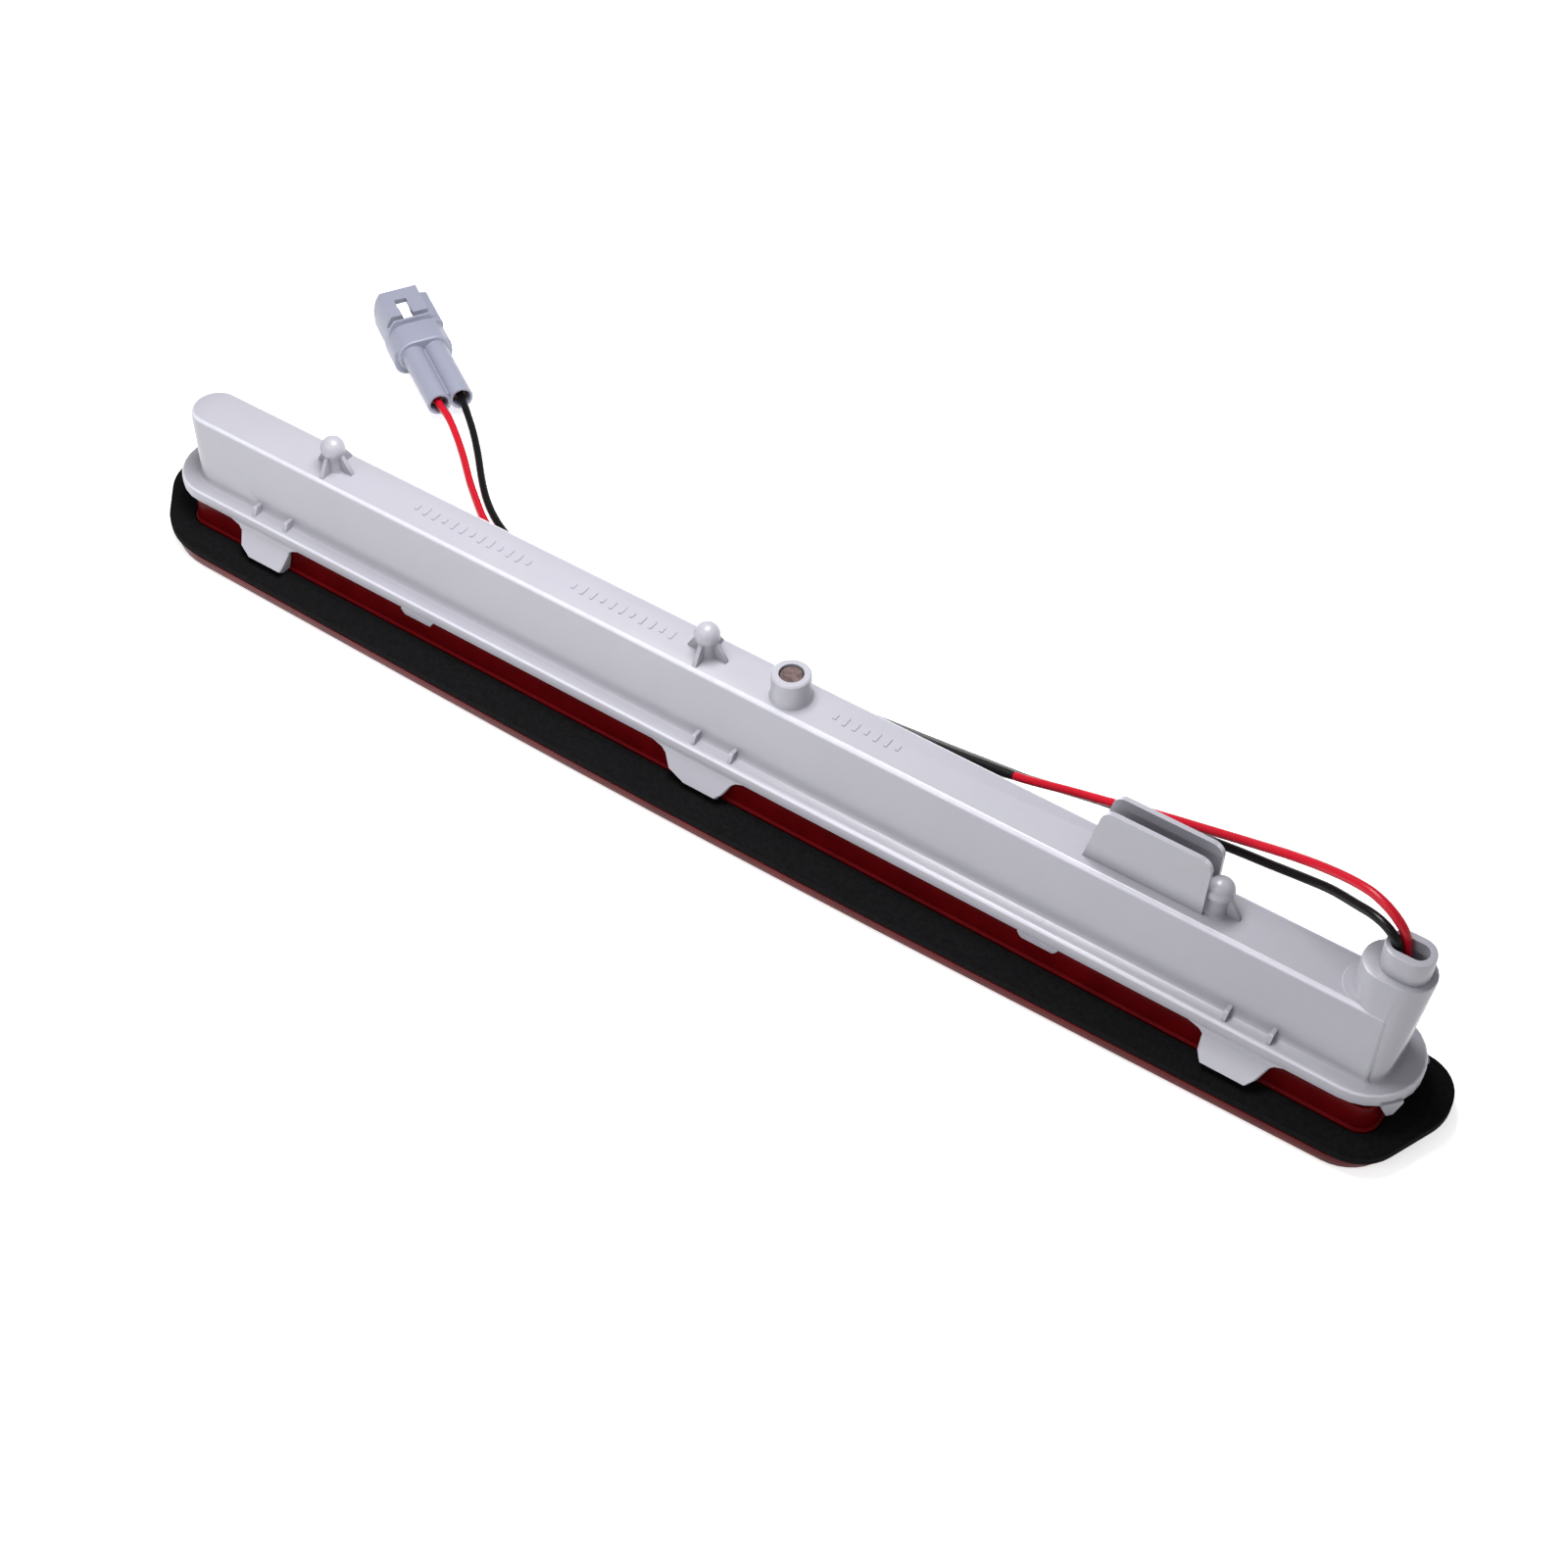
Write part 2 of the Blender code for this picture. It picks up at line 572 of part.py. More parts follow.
def peg_profile():
    """A peg's outer side, top to bottom: a ball on a shaft that widens towards its foot."""
    profile = [(0.0, PEG_BALL_Z + PEG_BALL_RADIUS)]
    for step in range(1, 9):
        angle = math.radians(90 - 130 * step / 8)
        profile.append((PEG_BALL_RADIUS * math.cos(angle), PEG_BALL_Z + PEG_BALL_RADIUS * math.sin(angle)))
    profile.append((PEG_SHAFT_RADIUS, BODY_TOP + 0.6 * MM))
    profile.append((PEG_SHAFT_RADIUS + 0.4 * MM, BODY_TOP))
    profile.append((PEG_SHAFT_RADIUS + 0.4 * MM, BODY_TOP - NUDGE))
    profile.append((0.0, BODY_TOP - NUDGE))
    return profile


def upright(x, y, angle=0.0):
    """A matrix that stands a flat outline up at (x, y), its own X turned by angle about Z."""
    spin = Matrix.Rotation(angle, 4, "Z")
    return Matrix.Translation((x, y, 0.0)) @ spin @ Matrix.Rotation(math.pi / 2, 4, "X")


def add_pegs(shapes):
    """Ball-tipped pegs with gusset fins; the last one's inner fins are left out beside the cable guide."""
    fin = [
        (0.0, BODY_TOP - NUDGE),
        (FIN_REACH, BODY_TOP - NUDGE),
        (FIN_REACH, BODY_TOP + 0.5 * MM),
        (PEG_SHAFT_RADIUS + 0.4 * MM, BODY_TOP + 4.2 * MM),
        (0.0, BODY_TOP + 4.6 * MM),
    ]
    for number, x in enumerate(PEG_XS, 1):
        turned(f"peg_{number}", peg_profile(), Matrix.Translation((x, HOUSING_Y, 0.0)), None, shapes)
        for quarter in (0, 1) if number == len(PEG_XS) else range(4):
            matrix = upright(x, HOUSING_Y, quarter * math.pi / 2)
            plate(f"peg_{number}_fin_{quarter}", fin, FIN_THICKNESS, matrix, None, shapes)


def add_boss(shapes):
    """The breather boss."""
    sections = [
        (BODY_TOP - NUDGE, circle_outline(BOSS_X, HOUSING_Y, BOSS_RADIUS + 0.5 * MM)),
        (BODY_TOP, circle_outline(BOSS_X, HOUSING_Y, BOSS_RADIUS + 0.5 * MM)),
        (BODY_TOP + 0.6 * MM, circle_outline(BOSS_X, HOUSING_Y, BOSS_RADIUS + 0.1 * MM)),
        (BOSS_TOP - 0.3 * MM, circle_outline(BOSS_X, HOUSING_Y, BOSS_RADIUS)),
        (BOSS_TOP, circle_outline(BOSS_X, HOUSING_Y, BOSS_RADIUS - 0.3 * MM)),
    ]
    loft("boss", sections, None, shapes)


def add_cable_guide(shapes):
    """Two thin upright plates side by side."""
    left, right = GUIDE_X
    corners = [
        (left, BODY_TOP - NUDGE, 0.0),
        (right - 0.3 * MM, BODY_TOP - NUDGE, 0.0),
        (right, GUIDE_TOP, 2.6 * MM),
        (left + 3.2 * MM, GUIDE_TOP, 2.6 * MM),
    ]
    for number, y in enumerate(GUIDE_YS, 1):
        matrix = upright(0.0, y)
        plate(f"guide_{number}", rounded_outline(corners), GUIDE_THICKNESS, matrix, None, shapes)


def add_marks(shapes):
    """Rows of low raised bars on the body's top, long and short in turn: plain moulding marks."""
    for row, (left, count, pitch) in enumerate(MARK_ROWS, 1):
        for number in range(count):
            x = (left + pitch * number) * MM
            half = (1.15 if number % 3 else 0.7) * MM
            low = (x - 0.35 * MM, HOUSING_Y - half, BODY_TOP - NUDGE)
            high = (x + 0.35 * MM, HOUSING_Y + half, BODY_TOP + MARK_HEIGHT)
            block(f"mark_{row}_{number}", low, high, None, shapes)


def tab_section(side, left, right, inner, outer):
    """A snap tab's section: flat towards the lens, its outer corners softened."""
    soft = 0.35 * MM
    points = [
        (left, inner),
        (left, outer - soft),
        (left + soft, outer),
        (right - soft, outer),
        (right, outer - soft),
        (right, inner),
    ]
    points = [(x, HOUSING_Y + side * y) for x, y in points]
    return points if side < 0 else points[::-1]


def add_tab(name, side, tab, shapes):
    """A wedge that spreads into the rim at its top and ends in a chamfer at its foot."""
    left, right, foot_left, foot_right, reach = tab
    tip_left, tip_right, tip_reach = foot_left + 0.2 * MM, foot_right - 0.2 * MM, reach - 0.9 * MM
    mid_left = left + 0.3 * (foot_left - left)
    mid_right = right + 0.5 * (foot_right - right)
    mid_reach = reach - 0.35 * (reach - 11.7 * MM)
    sections = [
        (TAB_FOOT, tab_section(side, tip_left, tip_right, 11.4 * MM, tip_reach)),
        (TAB_EDGE, tab_section(side, foot_left, foot_right, 11.2 * MM, reach)),
        (TAB_EDGE + 1.2 * MM, tab_section(side, mid_left, mid_right, 11.0 * MM, mid_reach)),
        (RIM_LOW - 0.8 * MM, tab_section(side, left, right, 10.7 * MM, 11.7 * MM)),
        (RIM_LOW - 0.1 * MM, tab_section(side, left - 1.2 * MM, right + 0.9 * MM, 10.6 * MM, 11.25 * MM)),
        (RIM_LOW + 0.9 * MM, tab_section(side, left - 5.4 * MM, right + 3.9 * MM, 9.5 * MM, 10.85 * MM)),
    ]
    loft(name, sections, None, shapes)


def add_tabs(shapes):
    """Snap wedges below the rim, a pair of ribs on the rim over each, and two low pads between them."""
    pad = rounded_outline([
        (-4.4 * MM, 11.8 * MM, 0.0),
        (-3.6 * MM, 10.5 * MM, 1.0 * MM),
        (3.6 * MM, 10.5 * MM, 1.0 * MM),
        (4.4 * MM, 11.8 * MM, 0.0),
    ], steps=3)
    rib = [
        (4.6 * MM, RIM_TOP - NUDGE),
        (9.8 * MM, RIM_TOP - NUDGE),
        (9.8 * MM, RIM_TOP + 0.25 * MM),
        (8.8 * MM, RIB_TOP),
        (4.6 * MM, RIB_TOP),
    ]
    for side, label in ((-1, "front"), (1, "back")):
        for number, tab in enumerate(TABS, 1):
            add_tab(f"tab_{label}_{number}", side, tab, shapes)
        for number, x in enumerate(RIB_XS, 1):
            for spread in (-RIB_SPREAD, RIB_SPREAD):
                matrix = upright(x + spread, HOUSING_Y, side * math.pi / 2)
                plate(f"rib_{label}_{number}_{spread > 0}", rib, RIB_THICKNESS, matrix, None, shapes)
        for number, x in enumerate(PAD_XS, 1):
            matrix = upright(x, HOUSING_Y + side * 10.95 * MM)
            plate(f"pad_{label}_{number}", pad, 0.6 * MM, matrix, None, shapes)


def add_end_hooks(shapes):
    """A small tapered hook under the rim on each side of the right end."""
    hook = [
        (-2.1 * MM, 12.4 * MM),
        (-2.1 * MM, 11.6 * MM),
        (-0.7 * MM, 8.9 * MM),
        (0.7 * MM, 8.9 * MM),
        (2.1 * MM, 11.6 * MM),
        (2.1 * MM, 12.4 * MM),
    ]
    centre_x = RIM_RIGHT - RIM_HALF_WIDTH
    reach = RIM_HALF_WIDTH - 0.1 * MM
    for side in (-1, 1):
        angle = math.radians(38.0) * side
        place = (centre_x + reach * math.cos(angle), HOUSING_Y + reach * math.sin(angle))
        matrix = upright(*place, angle + math.pi / 2)
        plate(f"end_hook_{side}", hook, 1.0 * MM, matrix, None, shapes)


def pocket_outline(inset=0.0, steps=2 * ARC_STEPS):
    """The outline of the pocket that holds the cable's rubber seal."""
    left, right = POCKET_X - POCKET_HALF_LENGTH + inset, POCKET_X + POCKET_HALF_LENGTH - inset
    return bar_outline(left, right, POCKET_HALF_WIDTH - inset, y=OUTLET_Y, steps=steps)


def make_housing():
    """The grey rear housing: rim, body, outlet and everything moulded on them, hollowed from below."""
    def rim_ring(inset):
        return bar_outline(RIM_LEFT + inset, RIM_RIGHT - inset, RIM_HALF_WIDTH - inset)

    sections = [
        (RIM_LOW, rim_ring(0.3 * MM)),
        (RIM_LOW + 0.4 * MM, rim_ring(0.0)),
        (RIM_TOP - 0.7 * MM, rim_ring(0.0)),
        (RIM_TOP - 0.35 * MM, rim_ring(0.1 * MM)),
        (RIM_TOP - 0.1 * MM, rim_ring(0.35 * MM)),
        (RIM_TOP, rim_ring(0.75 * MM)),
    ]
    housing = loft("rear_housing", sections, GREY_PLASTIC)
    outside = helpers("housing_outside")
    add_body(outside)
    add_outlet(outside)
    add_pegs(outside)
    add_boss(outside)
    add_cable_guide(outside)
    add_marks(outside)
    add_tabs(outside)
    add_end_hooks(outside)
    combine(housing, "UNION", outside)

    hollow = helpers("housing_hollow")
    roof = BODY_TOP - HOUSING_WALL
    left, right = CAVITY_ENDS
    low_ring = bar_outline(left, right, CAVITY_HALF_WIDTH, right_radius=1.0 * MM)
    high_ring = bar_outline(left + 1.4 * MM, right, 3.7 * MM, right_radius=1.0 * MM)
    sections = [(RIM_LOW - NUDGE, low_ring), (RIM_TOP, low_ring), (roof, high_ring)]
    loft("cavity", sections, None, hollow)
    pocket = pocket_outline()
    loft("grommet_pocket", [(RIM_LOW + 2.0 * MM, pocket), (POCKET_TOP, pocket)], None, hollow)
    left, right = OUTLET_X - OUTLET_HALF_LENGTH, OUTLET_X + OUTLET_HALF_LENGTH
    outlet = bar_outline(left, right, OUTLET_HALF_WIDTH, y=OUTLET_Y)
    loft("outlet_bore", [(POCKET_TOP - NUDGE, outlet), (COLLAR_TOP + NUDGE, outlet)], None, hollow)
    bore = circle_outline(BOSS_X, HOUSING_Y, BOSS_BORE_RADIUS)
    loft("boss_bore", [(BREATHER_FLOOR - GAP, bore), (BOSS_TOP + NUDGE, bore)], None, hollow)
    vent = circle_outline(BOSS_X, HOUSING_Y, 1.4 * MM)
    loft("vent_hole", [(roof - NUDGE, vent), (BREATHER_FLOOR, vent)], None, hollow)
    combine(housing, "DIFFERENCE", hollow)

    posts = helpers("housing_posts")
    pilots = helpers("housing_pilots")
    for number, x in enumerate(SCREW_XS, 1):
        low = BOARD_TOP + GAP
        ring = circle_outline(x, HOUSING_Y, POST_RADIUS, 16)
        loft(f"post_{number}", [(low, ring), (roof + NUDGE, ring)], None, posts)
        pilot = circle_outline(x, HOUSING_Y, 1.25 * MM, 12)
        loft(f"pilot_{number}", [(low - NUDGE, pilot), (low + 8.0 * MM, pilot)], None, pilots)
    combine(housing, "UNION", posts)
    combine(housing, "DIFFERENCE", pilots)


def make_breather():
    """The foam plug that lets the lamp breathe, seated in the boss."""
    ring = circle_outline(BOSS_X, HOUSING_Y, BOSS_BORE_RADIUS - GAP, 16)
    loft("breather_plug", [(BREATHER_FLOOR, ring), (BOSS_TOP - 0.45 * MM, ring)], BREATHER_FOAM)


def make_grommet():
    """The rubber seal in the tower, with a hole for each wire."""
    outline = pocket_outline(GAP, ARC_STEPS)
    sections = [(GROMMET_LOW, outline), (POCKET_TOP - GAP, outline)]
    grommet = loft("cable_grommet", sections, RUBBER)
    holes = helpers("grommet_holes")
    for x, y in (RED_HOLE, BLACK_HOLE):
        ring = circle_outline(x, y, 1.08 * MM, 12)
        loft("wire_hole", [(GROMMET_LOW - NUDGE, ring), (POCKET_TOP, ring)], None, holes)
    combine(grommet, "DIFFERENCE", holes)


# ---------------------------------------------------------------- light engine


def led_xs():
    """The lamps' places along the board."""
    return [(number - (LED_COUNT - 1) / 2) * LED_PITCH for number in range(LED_COUNT)]


def make_reflector():
    """The metallised tray of cups, one for each lamp."""
    outline = bar_outline(*REFLECTOR_ENDS, REFLECTOR_HALF_WIDTH, steps=ARC_STEPS)
    tray = loft("reflector", [(REFLECTOR_LOW, outline), (REFLECTOR_TOP, outline)], BRIGHT_METAL)
    cups = helpers("reflector_cups")
    for x in led_xs():
        sections = [
            (REFLECTOR_LOW - NUDGE, circle_outline(x, HOUSING_Y, 7.3 * MM)),
            (REFLECTOR_LOW, circle_outline(x, HOUSING_Y, 7.0 * MM)),
            (7.0 * MM, circle_outline(x, HOUSING_Y, 5.4 * MM)),
            (REFLECTOR_TOP, circle_outline(x, HOUSING_Y, 2.8 * MM)),
            (REFLECTOR_TOP + NUDGE, circle_outline(x, HOUSING_Y, 2.5 * MM)),
        ]
        loft("cup", sections, None, cups)
    combine(tray, "DIFFERENCE", cups)


def make_board():
    """The circuit board, with a hole for each screw."""
    left, right = BOARD_ENDS
    low = (left, HOUSING_Y - BOARD_HALF_WIDTH, BOARD_LOW)
    high = (right, HOUSING_Y + BOARD_HALF_WIDTH, BOARD_TOP)
    board = block("circuit_board", low, high, BOARD_GREEN)
    holes = helpers("board_holes")
    for x in SCREW_XS:
        ring = circle_outline(x, HOUSING_Y, 1.3 * MM, 16)
        loft("screw_hole", [(BOARD_LOW - NUDGE, ring), (BOARD_TOP + NUDGE, ring)], None, holes)
    combine(board, "DIFFERENCE", holes)


def make_leds():
    """The light-emitting diodes: square packages with a round well, facing the lens."""
    top = BOARD_LOW - GAP
    low = top - 1.4 * MM
    for number, x in enumerate(led_xs(), 1):
        name = f"led_{number:02d}"
        corner = (x - 1.75 * MM, HOUSING_Y - 1.75 * MM, low)
        package = block(name, corner, (x + 1.75 * MM, HOUSING_Y + 1.75 * MM, top), LED_WHITE)
        wells = helpers(f"{name}_well")
        rings = [circle_outline(x, HOUSING_Y, radius, 12) for radius in (1.4 * MM, 1.0 * MM)]
        loft("well", [(low - 0.1 * MM, rings[0]), (low + 0.5 * MM, rings[1])], None, wells)
        combine(package, "DIFFERENCE", wells)


def make_board_parts():
    """Current-limiting resistors and a protection diode on the board's back."""
    low = BOARD_TOP + GAP
    for number, x in enumerate((-92.0 * MM, -69.0 * MM, 69.0 * MM, 92.0 * MM), 1):
        corner = (x - 3.15 * MM, HOUSING_Y - 1.6 * MM, low)
        far = (x + 3.15 * MM, HOUSING_Y + 1.6 * MM, low + 0.6 * MM)
        block(f"resistor_{number}", corner, far, RESISTOR_BLACK)
    corner = (123.9 * MM, HOUSING_Y - 1.3 * MM, low)
    far = (128.2 * MM, HOUSING_Y + 1.3 * MM, low + 2.1 * MM)
    block("protection_diode", corner, far, RESISTOR_BLACK, edge=0.3 * MM)


def make_screws():
    """Self-tapping screws, from the lens side through the board into the housing's posts."""
    head = BOARD_LOW - GAP
    profile = [
        (0.0, BOARD_TOP + 6.5 * MM),
        (0.9 * MM, BOARD_TOP + 5.5 * MM),
        (0.9 * MM, head),
        (2.0 * MM, head),
        (1.9 * MM, head - 0.7 * MM),
        (1.2 * MM, head - 1.3 * MM),
        (0.0, head - 1.3 * MM),
    ]
    for number, x in enumerate(SCREW_XS, 1):
        place = Matrix.Translation((x, HOUSING_Y, 0.0))
        turned(f"board_screw_{number}", profile, place, SCREW_STEEL, steps=16)


# ---------------------------------------------------------------- cable


def plug_matrix():
    """Places the connector: its own X along u, Y along v, Z up, origin under its rear."""
    return Matrix.Translation(PLUG_REAR) @ Matrix.Rotation(PLUG_ANGLE, 4, "Z")


def plug_point(u, v, w):
    """A point of the connector's own frame, in the lamp's frame."""
    return tuple(plug_matrix() @ Vector((u, v, w)))


def make_cable():
    """Two wires from the board through the tower, the sleeve that joins them, and on to the connector."""
    sides = (
        ("red", RED_HOLE, RED_LAMP_ROUTE, RED_PLUG_ROUTE, RED_WIRE, TUBE_SPREAD, 1.4 * MM),
        ("black", BLACK_HOLE, BLACK_LAMP_ROUTE, BLACK_PLUG_ROUTE, BLACK_WIRE, -TUBE_SPREAD, -1.4 * MM),
    )
    for colour, (x, y), lamp_route, plug_route, material, v, pad in sides:
        joint_x, joint_y = lamp_route[0][0] * MM, lamp_route[0][1] * MM
        solder = BOARD_TOP + GAP + WIRE_RADIUS
        inner = [
            (132.5 * MM, HOUSING_Y + pad, solder),
            (135.5 * MM, HOUSING_Y + pad, solder + 0.2 * MM),
            (138.6 * MM, HOUSING_Y + pad * 0.9, solder + 2.2 * MM),
            (x - 1.3 * MM, HOUSING_Y + pad * 0.5, solder + 7.0 * MM),
            (x - 0.1 * MM, HOUSING_Y + pad * 0.1, GROMMET_LOW - 3.0 * MM),
            (x, y, GROMMET_LOW),
            (x, y, POCKET_TOP - 1.0 * MM),
            (joint_x, joint_y, WIRE_JOINT_Z),
        ]
        wire(f"lead_{colour}_inner", inner, WIRE_RADIUS, material)
        wire(f"lead_{colour}_lamp_side", in_metres(lamp_route), WIRE_RADIUS, material)
        entry = [plug_point(u, v, PLUG_AXIS_HEIGHT) for u in (0.0, 5.0 * MM, WIRE_DEPTH)]
        wire(f"lead_{colour}_plug_side", in_metres(plug_route) + entry, WIRE_RADIUS, material)
    wire("shrink_sleeve", in_metres(SLEEVE_ROUTE), SLEEVE_RADIUS, SLEEVE_BLACK)


# ---------------------------------------------------------------- connector


def plug_loft(name, sections, material=None, collection=LAMP):
    """A loft along the connector: sections (u, outline in v and w)."""
    item = loft(name, sections, material, collection)
    turn = Matrix(((0, 0, 1, 0), (1, 0, 0, 0), (0, 1, 0, 0), (0, 0, 0, 1)))
    item.data.transform(plug_matrix() @ turn)
    return item


def box_outline(half_width, low, high, radius, steps=4):
    """A rounded rectangle across the connector, in v and w."""
    return rounded_outline([
        (-half_width, low, radius),
        (half_width, low, radius),
        (half_width, high, radius),
        (-half_width, high, radius),
    ], steps)


def shroud_outline():
    """The shroud's section, in v and w: chamfered on one side, stepped down to a rail on the other."""
    corners = (
        (-5.2, 0.5), (4.8, 0.5), (6.7, 2.7), (6.7, 6.8), (5.9, 9.5), (4.7, 11.2),
        (-4.6, 11.2), (-4.8, 8.7), (-6.9, 8.4), (-7.3, 7.6), (-7.3, 2.8),
    )
    return [(v * MM, w * MM) for v, w in corners]


def cavity_outline(inset):
    """The section of the shroud's hollow, in v and w, drawn in by an inset."""
    return box_outline(5.3 * MM - inset, 1.9 * MM + inset, 7.5 * MM - inset, 1.3 * MM - inset, 2)


def window_outline(inset, low, high):
    """The section of the lock window, in v and w, drawn in at its sides by an inset."""
    half = WINDOW_HALF_WIDTH - inset
    return [
        (WINDOW_V - half, low), (WINDOW_V + half, low), (WINDOW_V + half, high), (WINDOW_V - half, high),
    ]


def add_plug_outside(shapes):
    """The connector's outer shapes beyond its collar: flange, shroud, wire tubes and the web in between."""
    flange = box_outline(7.3 * MM, 0.0, 8.5 * MM, 3.4 * MM)
    plug_loft("flange", [(FLANGE_START, flange), (RECESS[0] + 1.0 * MM, flange)], None, shapes)
    shroud = shroud_outline()
    plug_loft("shroud", [(RECESS[0] - NUDGE, shroud), (PLUG_LENGTH, shroud)], None, shapes)
    web = box_outline(2.4 * MM, 4.6 * MM, 6.9 * MM, 0.3 * MM, 1)
    plug_loft("web", [(1.5 * MM, web), (TUBE_END, web)], None, shapes)
    for v in (-TUBE_SPREAD, TUBE_SPREAD):
        tube = circle_outline(v, PLUG_AXIS_HEIGHT, TUBE_RADIUS, 22)
        plug_loft("wire_tube", [(0.0, tube), (TUBE_END, tube)], None, shapes)


def add_plug_hollow(shapes):
    """What is cut from the connector: recess, lock window and channel, mouth, wire bores and pin slots."""
    side, top = 9.0 * MM, 13.0 * MM
    recess = [(-side, RECESS_FLOOR), (side, RECESS_FLOOR), (side, top), (-side, top)]
    plug_loft("recess", [(RECESS[0], recess), (RECESS[1], recess)], None, shapes)
    mouth = cavity_outline(0.0)
    plug_loft("mouth", [(RETAINER_START - 0.5 * MM, mouth), (PLUG_LENGTH + NUDGE, mouth)], None, shapes)
    window = window_outline(0.0, 7.0 * MM, 13.0 * MM)
    plug_loft("lock_window", [(WINDOW[0], window), (WINDOW[1], window)], None, shapes)
    channel = window_outline(-0.9 * MM, 7.0 * MM, 9.8 * MM)
    plug_loft("lock_channel", [(RECESS[1] + 1.0 * MM, channel), (PLUG_LENGTH + NUDGE, channel)], None, shapes)
    for v in (-TUBE_SPREAD, TUBE_SPREAD):
        bore = circle_outline(v, PLUG_AXIS_HEIGHT, TUBE_BORE_RADIUS, 18)
        plug_loft("wire_bore", [(-NUDGE, bore), (BORE_END, bore)], None, shapes)
        slot = [(v + dv, PLUG_AXIS_HEIGHT + dw) for dv, dw in slot_corners(1.2 * MM, 0.75 * MM)]
        plug_loft("pin_slot", [(BORE_END - 0.7 * MM, slot), (RETAINER_START, slot)], None, shapes)


def make_connector():
    """The sealed housing: two wire tubes, a collar in a flange, and a shroud with a lock window."""
    collar = box_outline(6.5 * MM, 1.7 * MM, 9.8 * MM, 3.8 * MM, 5)
    edge = box_outline(6.2 * MM, 2.0 * MM, 9.5 * MM, 3.5 * MM, 5)
    sections = [(COLLAR_START, edge), (COLLAR_START + 0.3 * MM, collar), (RECESS[0] + 0.1 * MM, collar)]
    housing = plug_loft("connector_housing", sections, CONNECTOR_GREY)
    outside = helpers("connector_outside")
    add_plug_outside(outside)
    combine(housing, "UNION", outside)
    hollow = helpers("connector_hollow")
    add_plug_hollow(hollow)
    combine(housing, "DIFFERENCE", hollow)


def slot_corners(half_width, half_height):
    """The corners of a rectangle about its centre, anticlockwise."""
    return (
        (-half_width, -half_height),
        (half_width, -half_height),
        (half_width, half_height),
        (-half_width, half_height),
    )


def make_retainer():
    """The terminal retainer: a block in the shroud that slides along the pins, with a lug in the window."""
    body = cavity_outline(GAP)
    retainer = plug_loft("terminal_retainer", [(RETAINER_START, body), (RETAINER_END, body)], NATURAL_NYLON)
    lugs = helpers("retainer_lug")
    lug = window_outline(GAP, 6.6 * MM, LUG_TOP)
    plug_loft("lug", [(LUG[0], lug), (LUG[1], lug)], None, lugs)
    combine(retainer, "UNION", lugs)
    slots = helpers("retainer_slots")
    for v in (-TUBE_SPREAD, TUBE_SPREAD):
        slot = [(v + dv, PLUG_AXIS_HEIGHT + dw) for dv, dw in slot_corners(1.2 * MM, 0.75 * MM)]
        sections = [(RETAINER_START - NUDGE, slot), (RETAINER_END + NUDGE, slot)]
        plug_loft("retainer_slot", sections, None, slots)
    combine(retainer, "DIFFERENCE", slots)


def make_terminals():
    """A pin and a wire seal on each wire."""
    for colour, v in (("red", TUBE_SPREAD), ("black", -TUBE_SPREAD)):
        blade = [(v + dv, PLUG_AXIS_HEIGHT + dw) for dv, dw in slot_corners(0.9 * MM, 0.4 * MM)]
        pin = plug_loft(f"terminal_pin_{colour}", [(18.0 * MM, blade), (37.8 * MM, blade)], TINNED_BRASS)
        barrel = helpers(f"pin_barrel_{colour}")
        ring = circle_outline(v, PLUG_AXIS_HEIGHT, 1.45 * MM, 12)
        plug_loft("barrel", [(WIRE_DEPTH + GAP, ring), (18.8 * MM, ring)], None, barrel)
        combine(pin, "UNION", barrel)
        outside = circle_outline(v, PLUG_AXIS_HEIGHT, TUBE_BORE_RADIUS - GAP, 16)
        seal = plug_loft(f"wire_seal_{colour}", [(2.6 * MM, outside), (8.6 * MM, outside)], SEAL_BROWN)
        hole = helpers(f"seal_hole_{colour}")
        inside = circle_outline(v, PLUG_AXIS_HEIGHT, 1.2 * MM, 16)
        plug_loft("seal_bore", [(2.0 * MM, inside), (9.2 * MM, inside)], None, hole)
        combine(seal, "DIFFERENCE", hole)


def main():
    """Builds the lamp, piece by piece."""
    make_lens()
    make_gasket()
    make_housing()
    make_breather()
    make_grommet()
    make_reflector()
    make_board()
    make_leds()
    make_board_parts()
    make_screws()
    make_cable()
    make_connector()
    make_retainer()
    make_terminals()


main()
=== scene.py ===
"""Looks for the high-mount stop lamp: camera, cable, materials, light and floor."""

import math

import bpy
import numpy as np
from mathutils import Matrix, Vector


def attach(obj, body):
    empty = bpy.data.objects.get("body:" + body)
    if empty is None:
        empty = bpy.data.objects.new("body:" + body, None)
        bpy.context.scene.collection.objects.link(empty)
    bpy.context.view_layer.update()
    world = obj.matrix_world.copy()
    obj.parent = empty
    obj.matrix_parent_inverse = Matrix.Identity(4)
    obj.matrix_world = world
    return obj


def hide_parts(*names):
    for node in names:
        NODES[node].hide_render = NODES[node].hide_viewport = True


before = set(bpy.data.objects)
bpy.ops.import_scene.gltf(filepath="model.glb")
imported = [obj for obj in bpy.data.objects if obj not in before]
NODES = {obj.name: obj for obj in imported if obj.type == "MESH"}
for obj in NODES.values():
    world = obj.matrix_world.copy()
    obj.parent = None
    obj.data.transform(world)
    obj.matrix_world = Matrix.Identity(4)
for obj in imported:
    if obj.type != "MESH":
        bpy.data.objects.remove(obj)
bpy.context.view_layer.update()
MM = 0.001

# ---------------------------------------------------------------- camera

CAMERA_PLACE = (0.2030, -0.2708, 0.3740)
AZIMUTH = math.radians(36.27)
ELEVATION = math.radians(48.54)
ROLL = math.radians(-0.99)
FOCAL_LENGTH = 55.97
LENS_SHIFT = (0.0236, 0.0141)


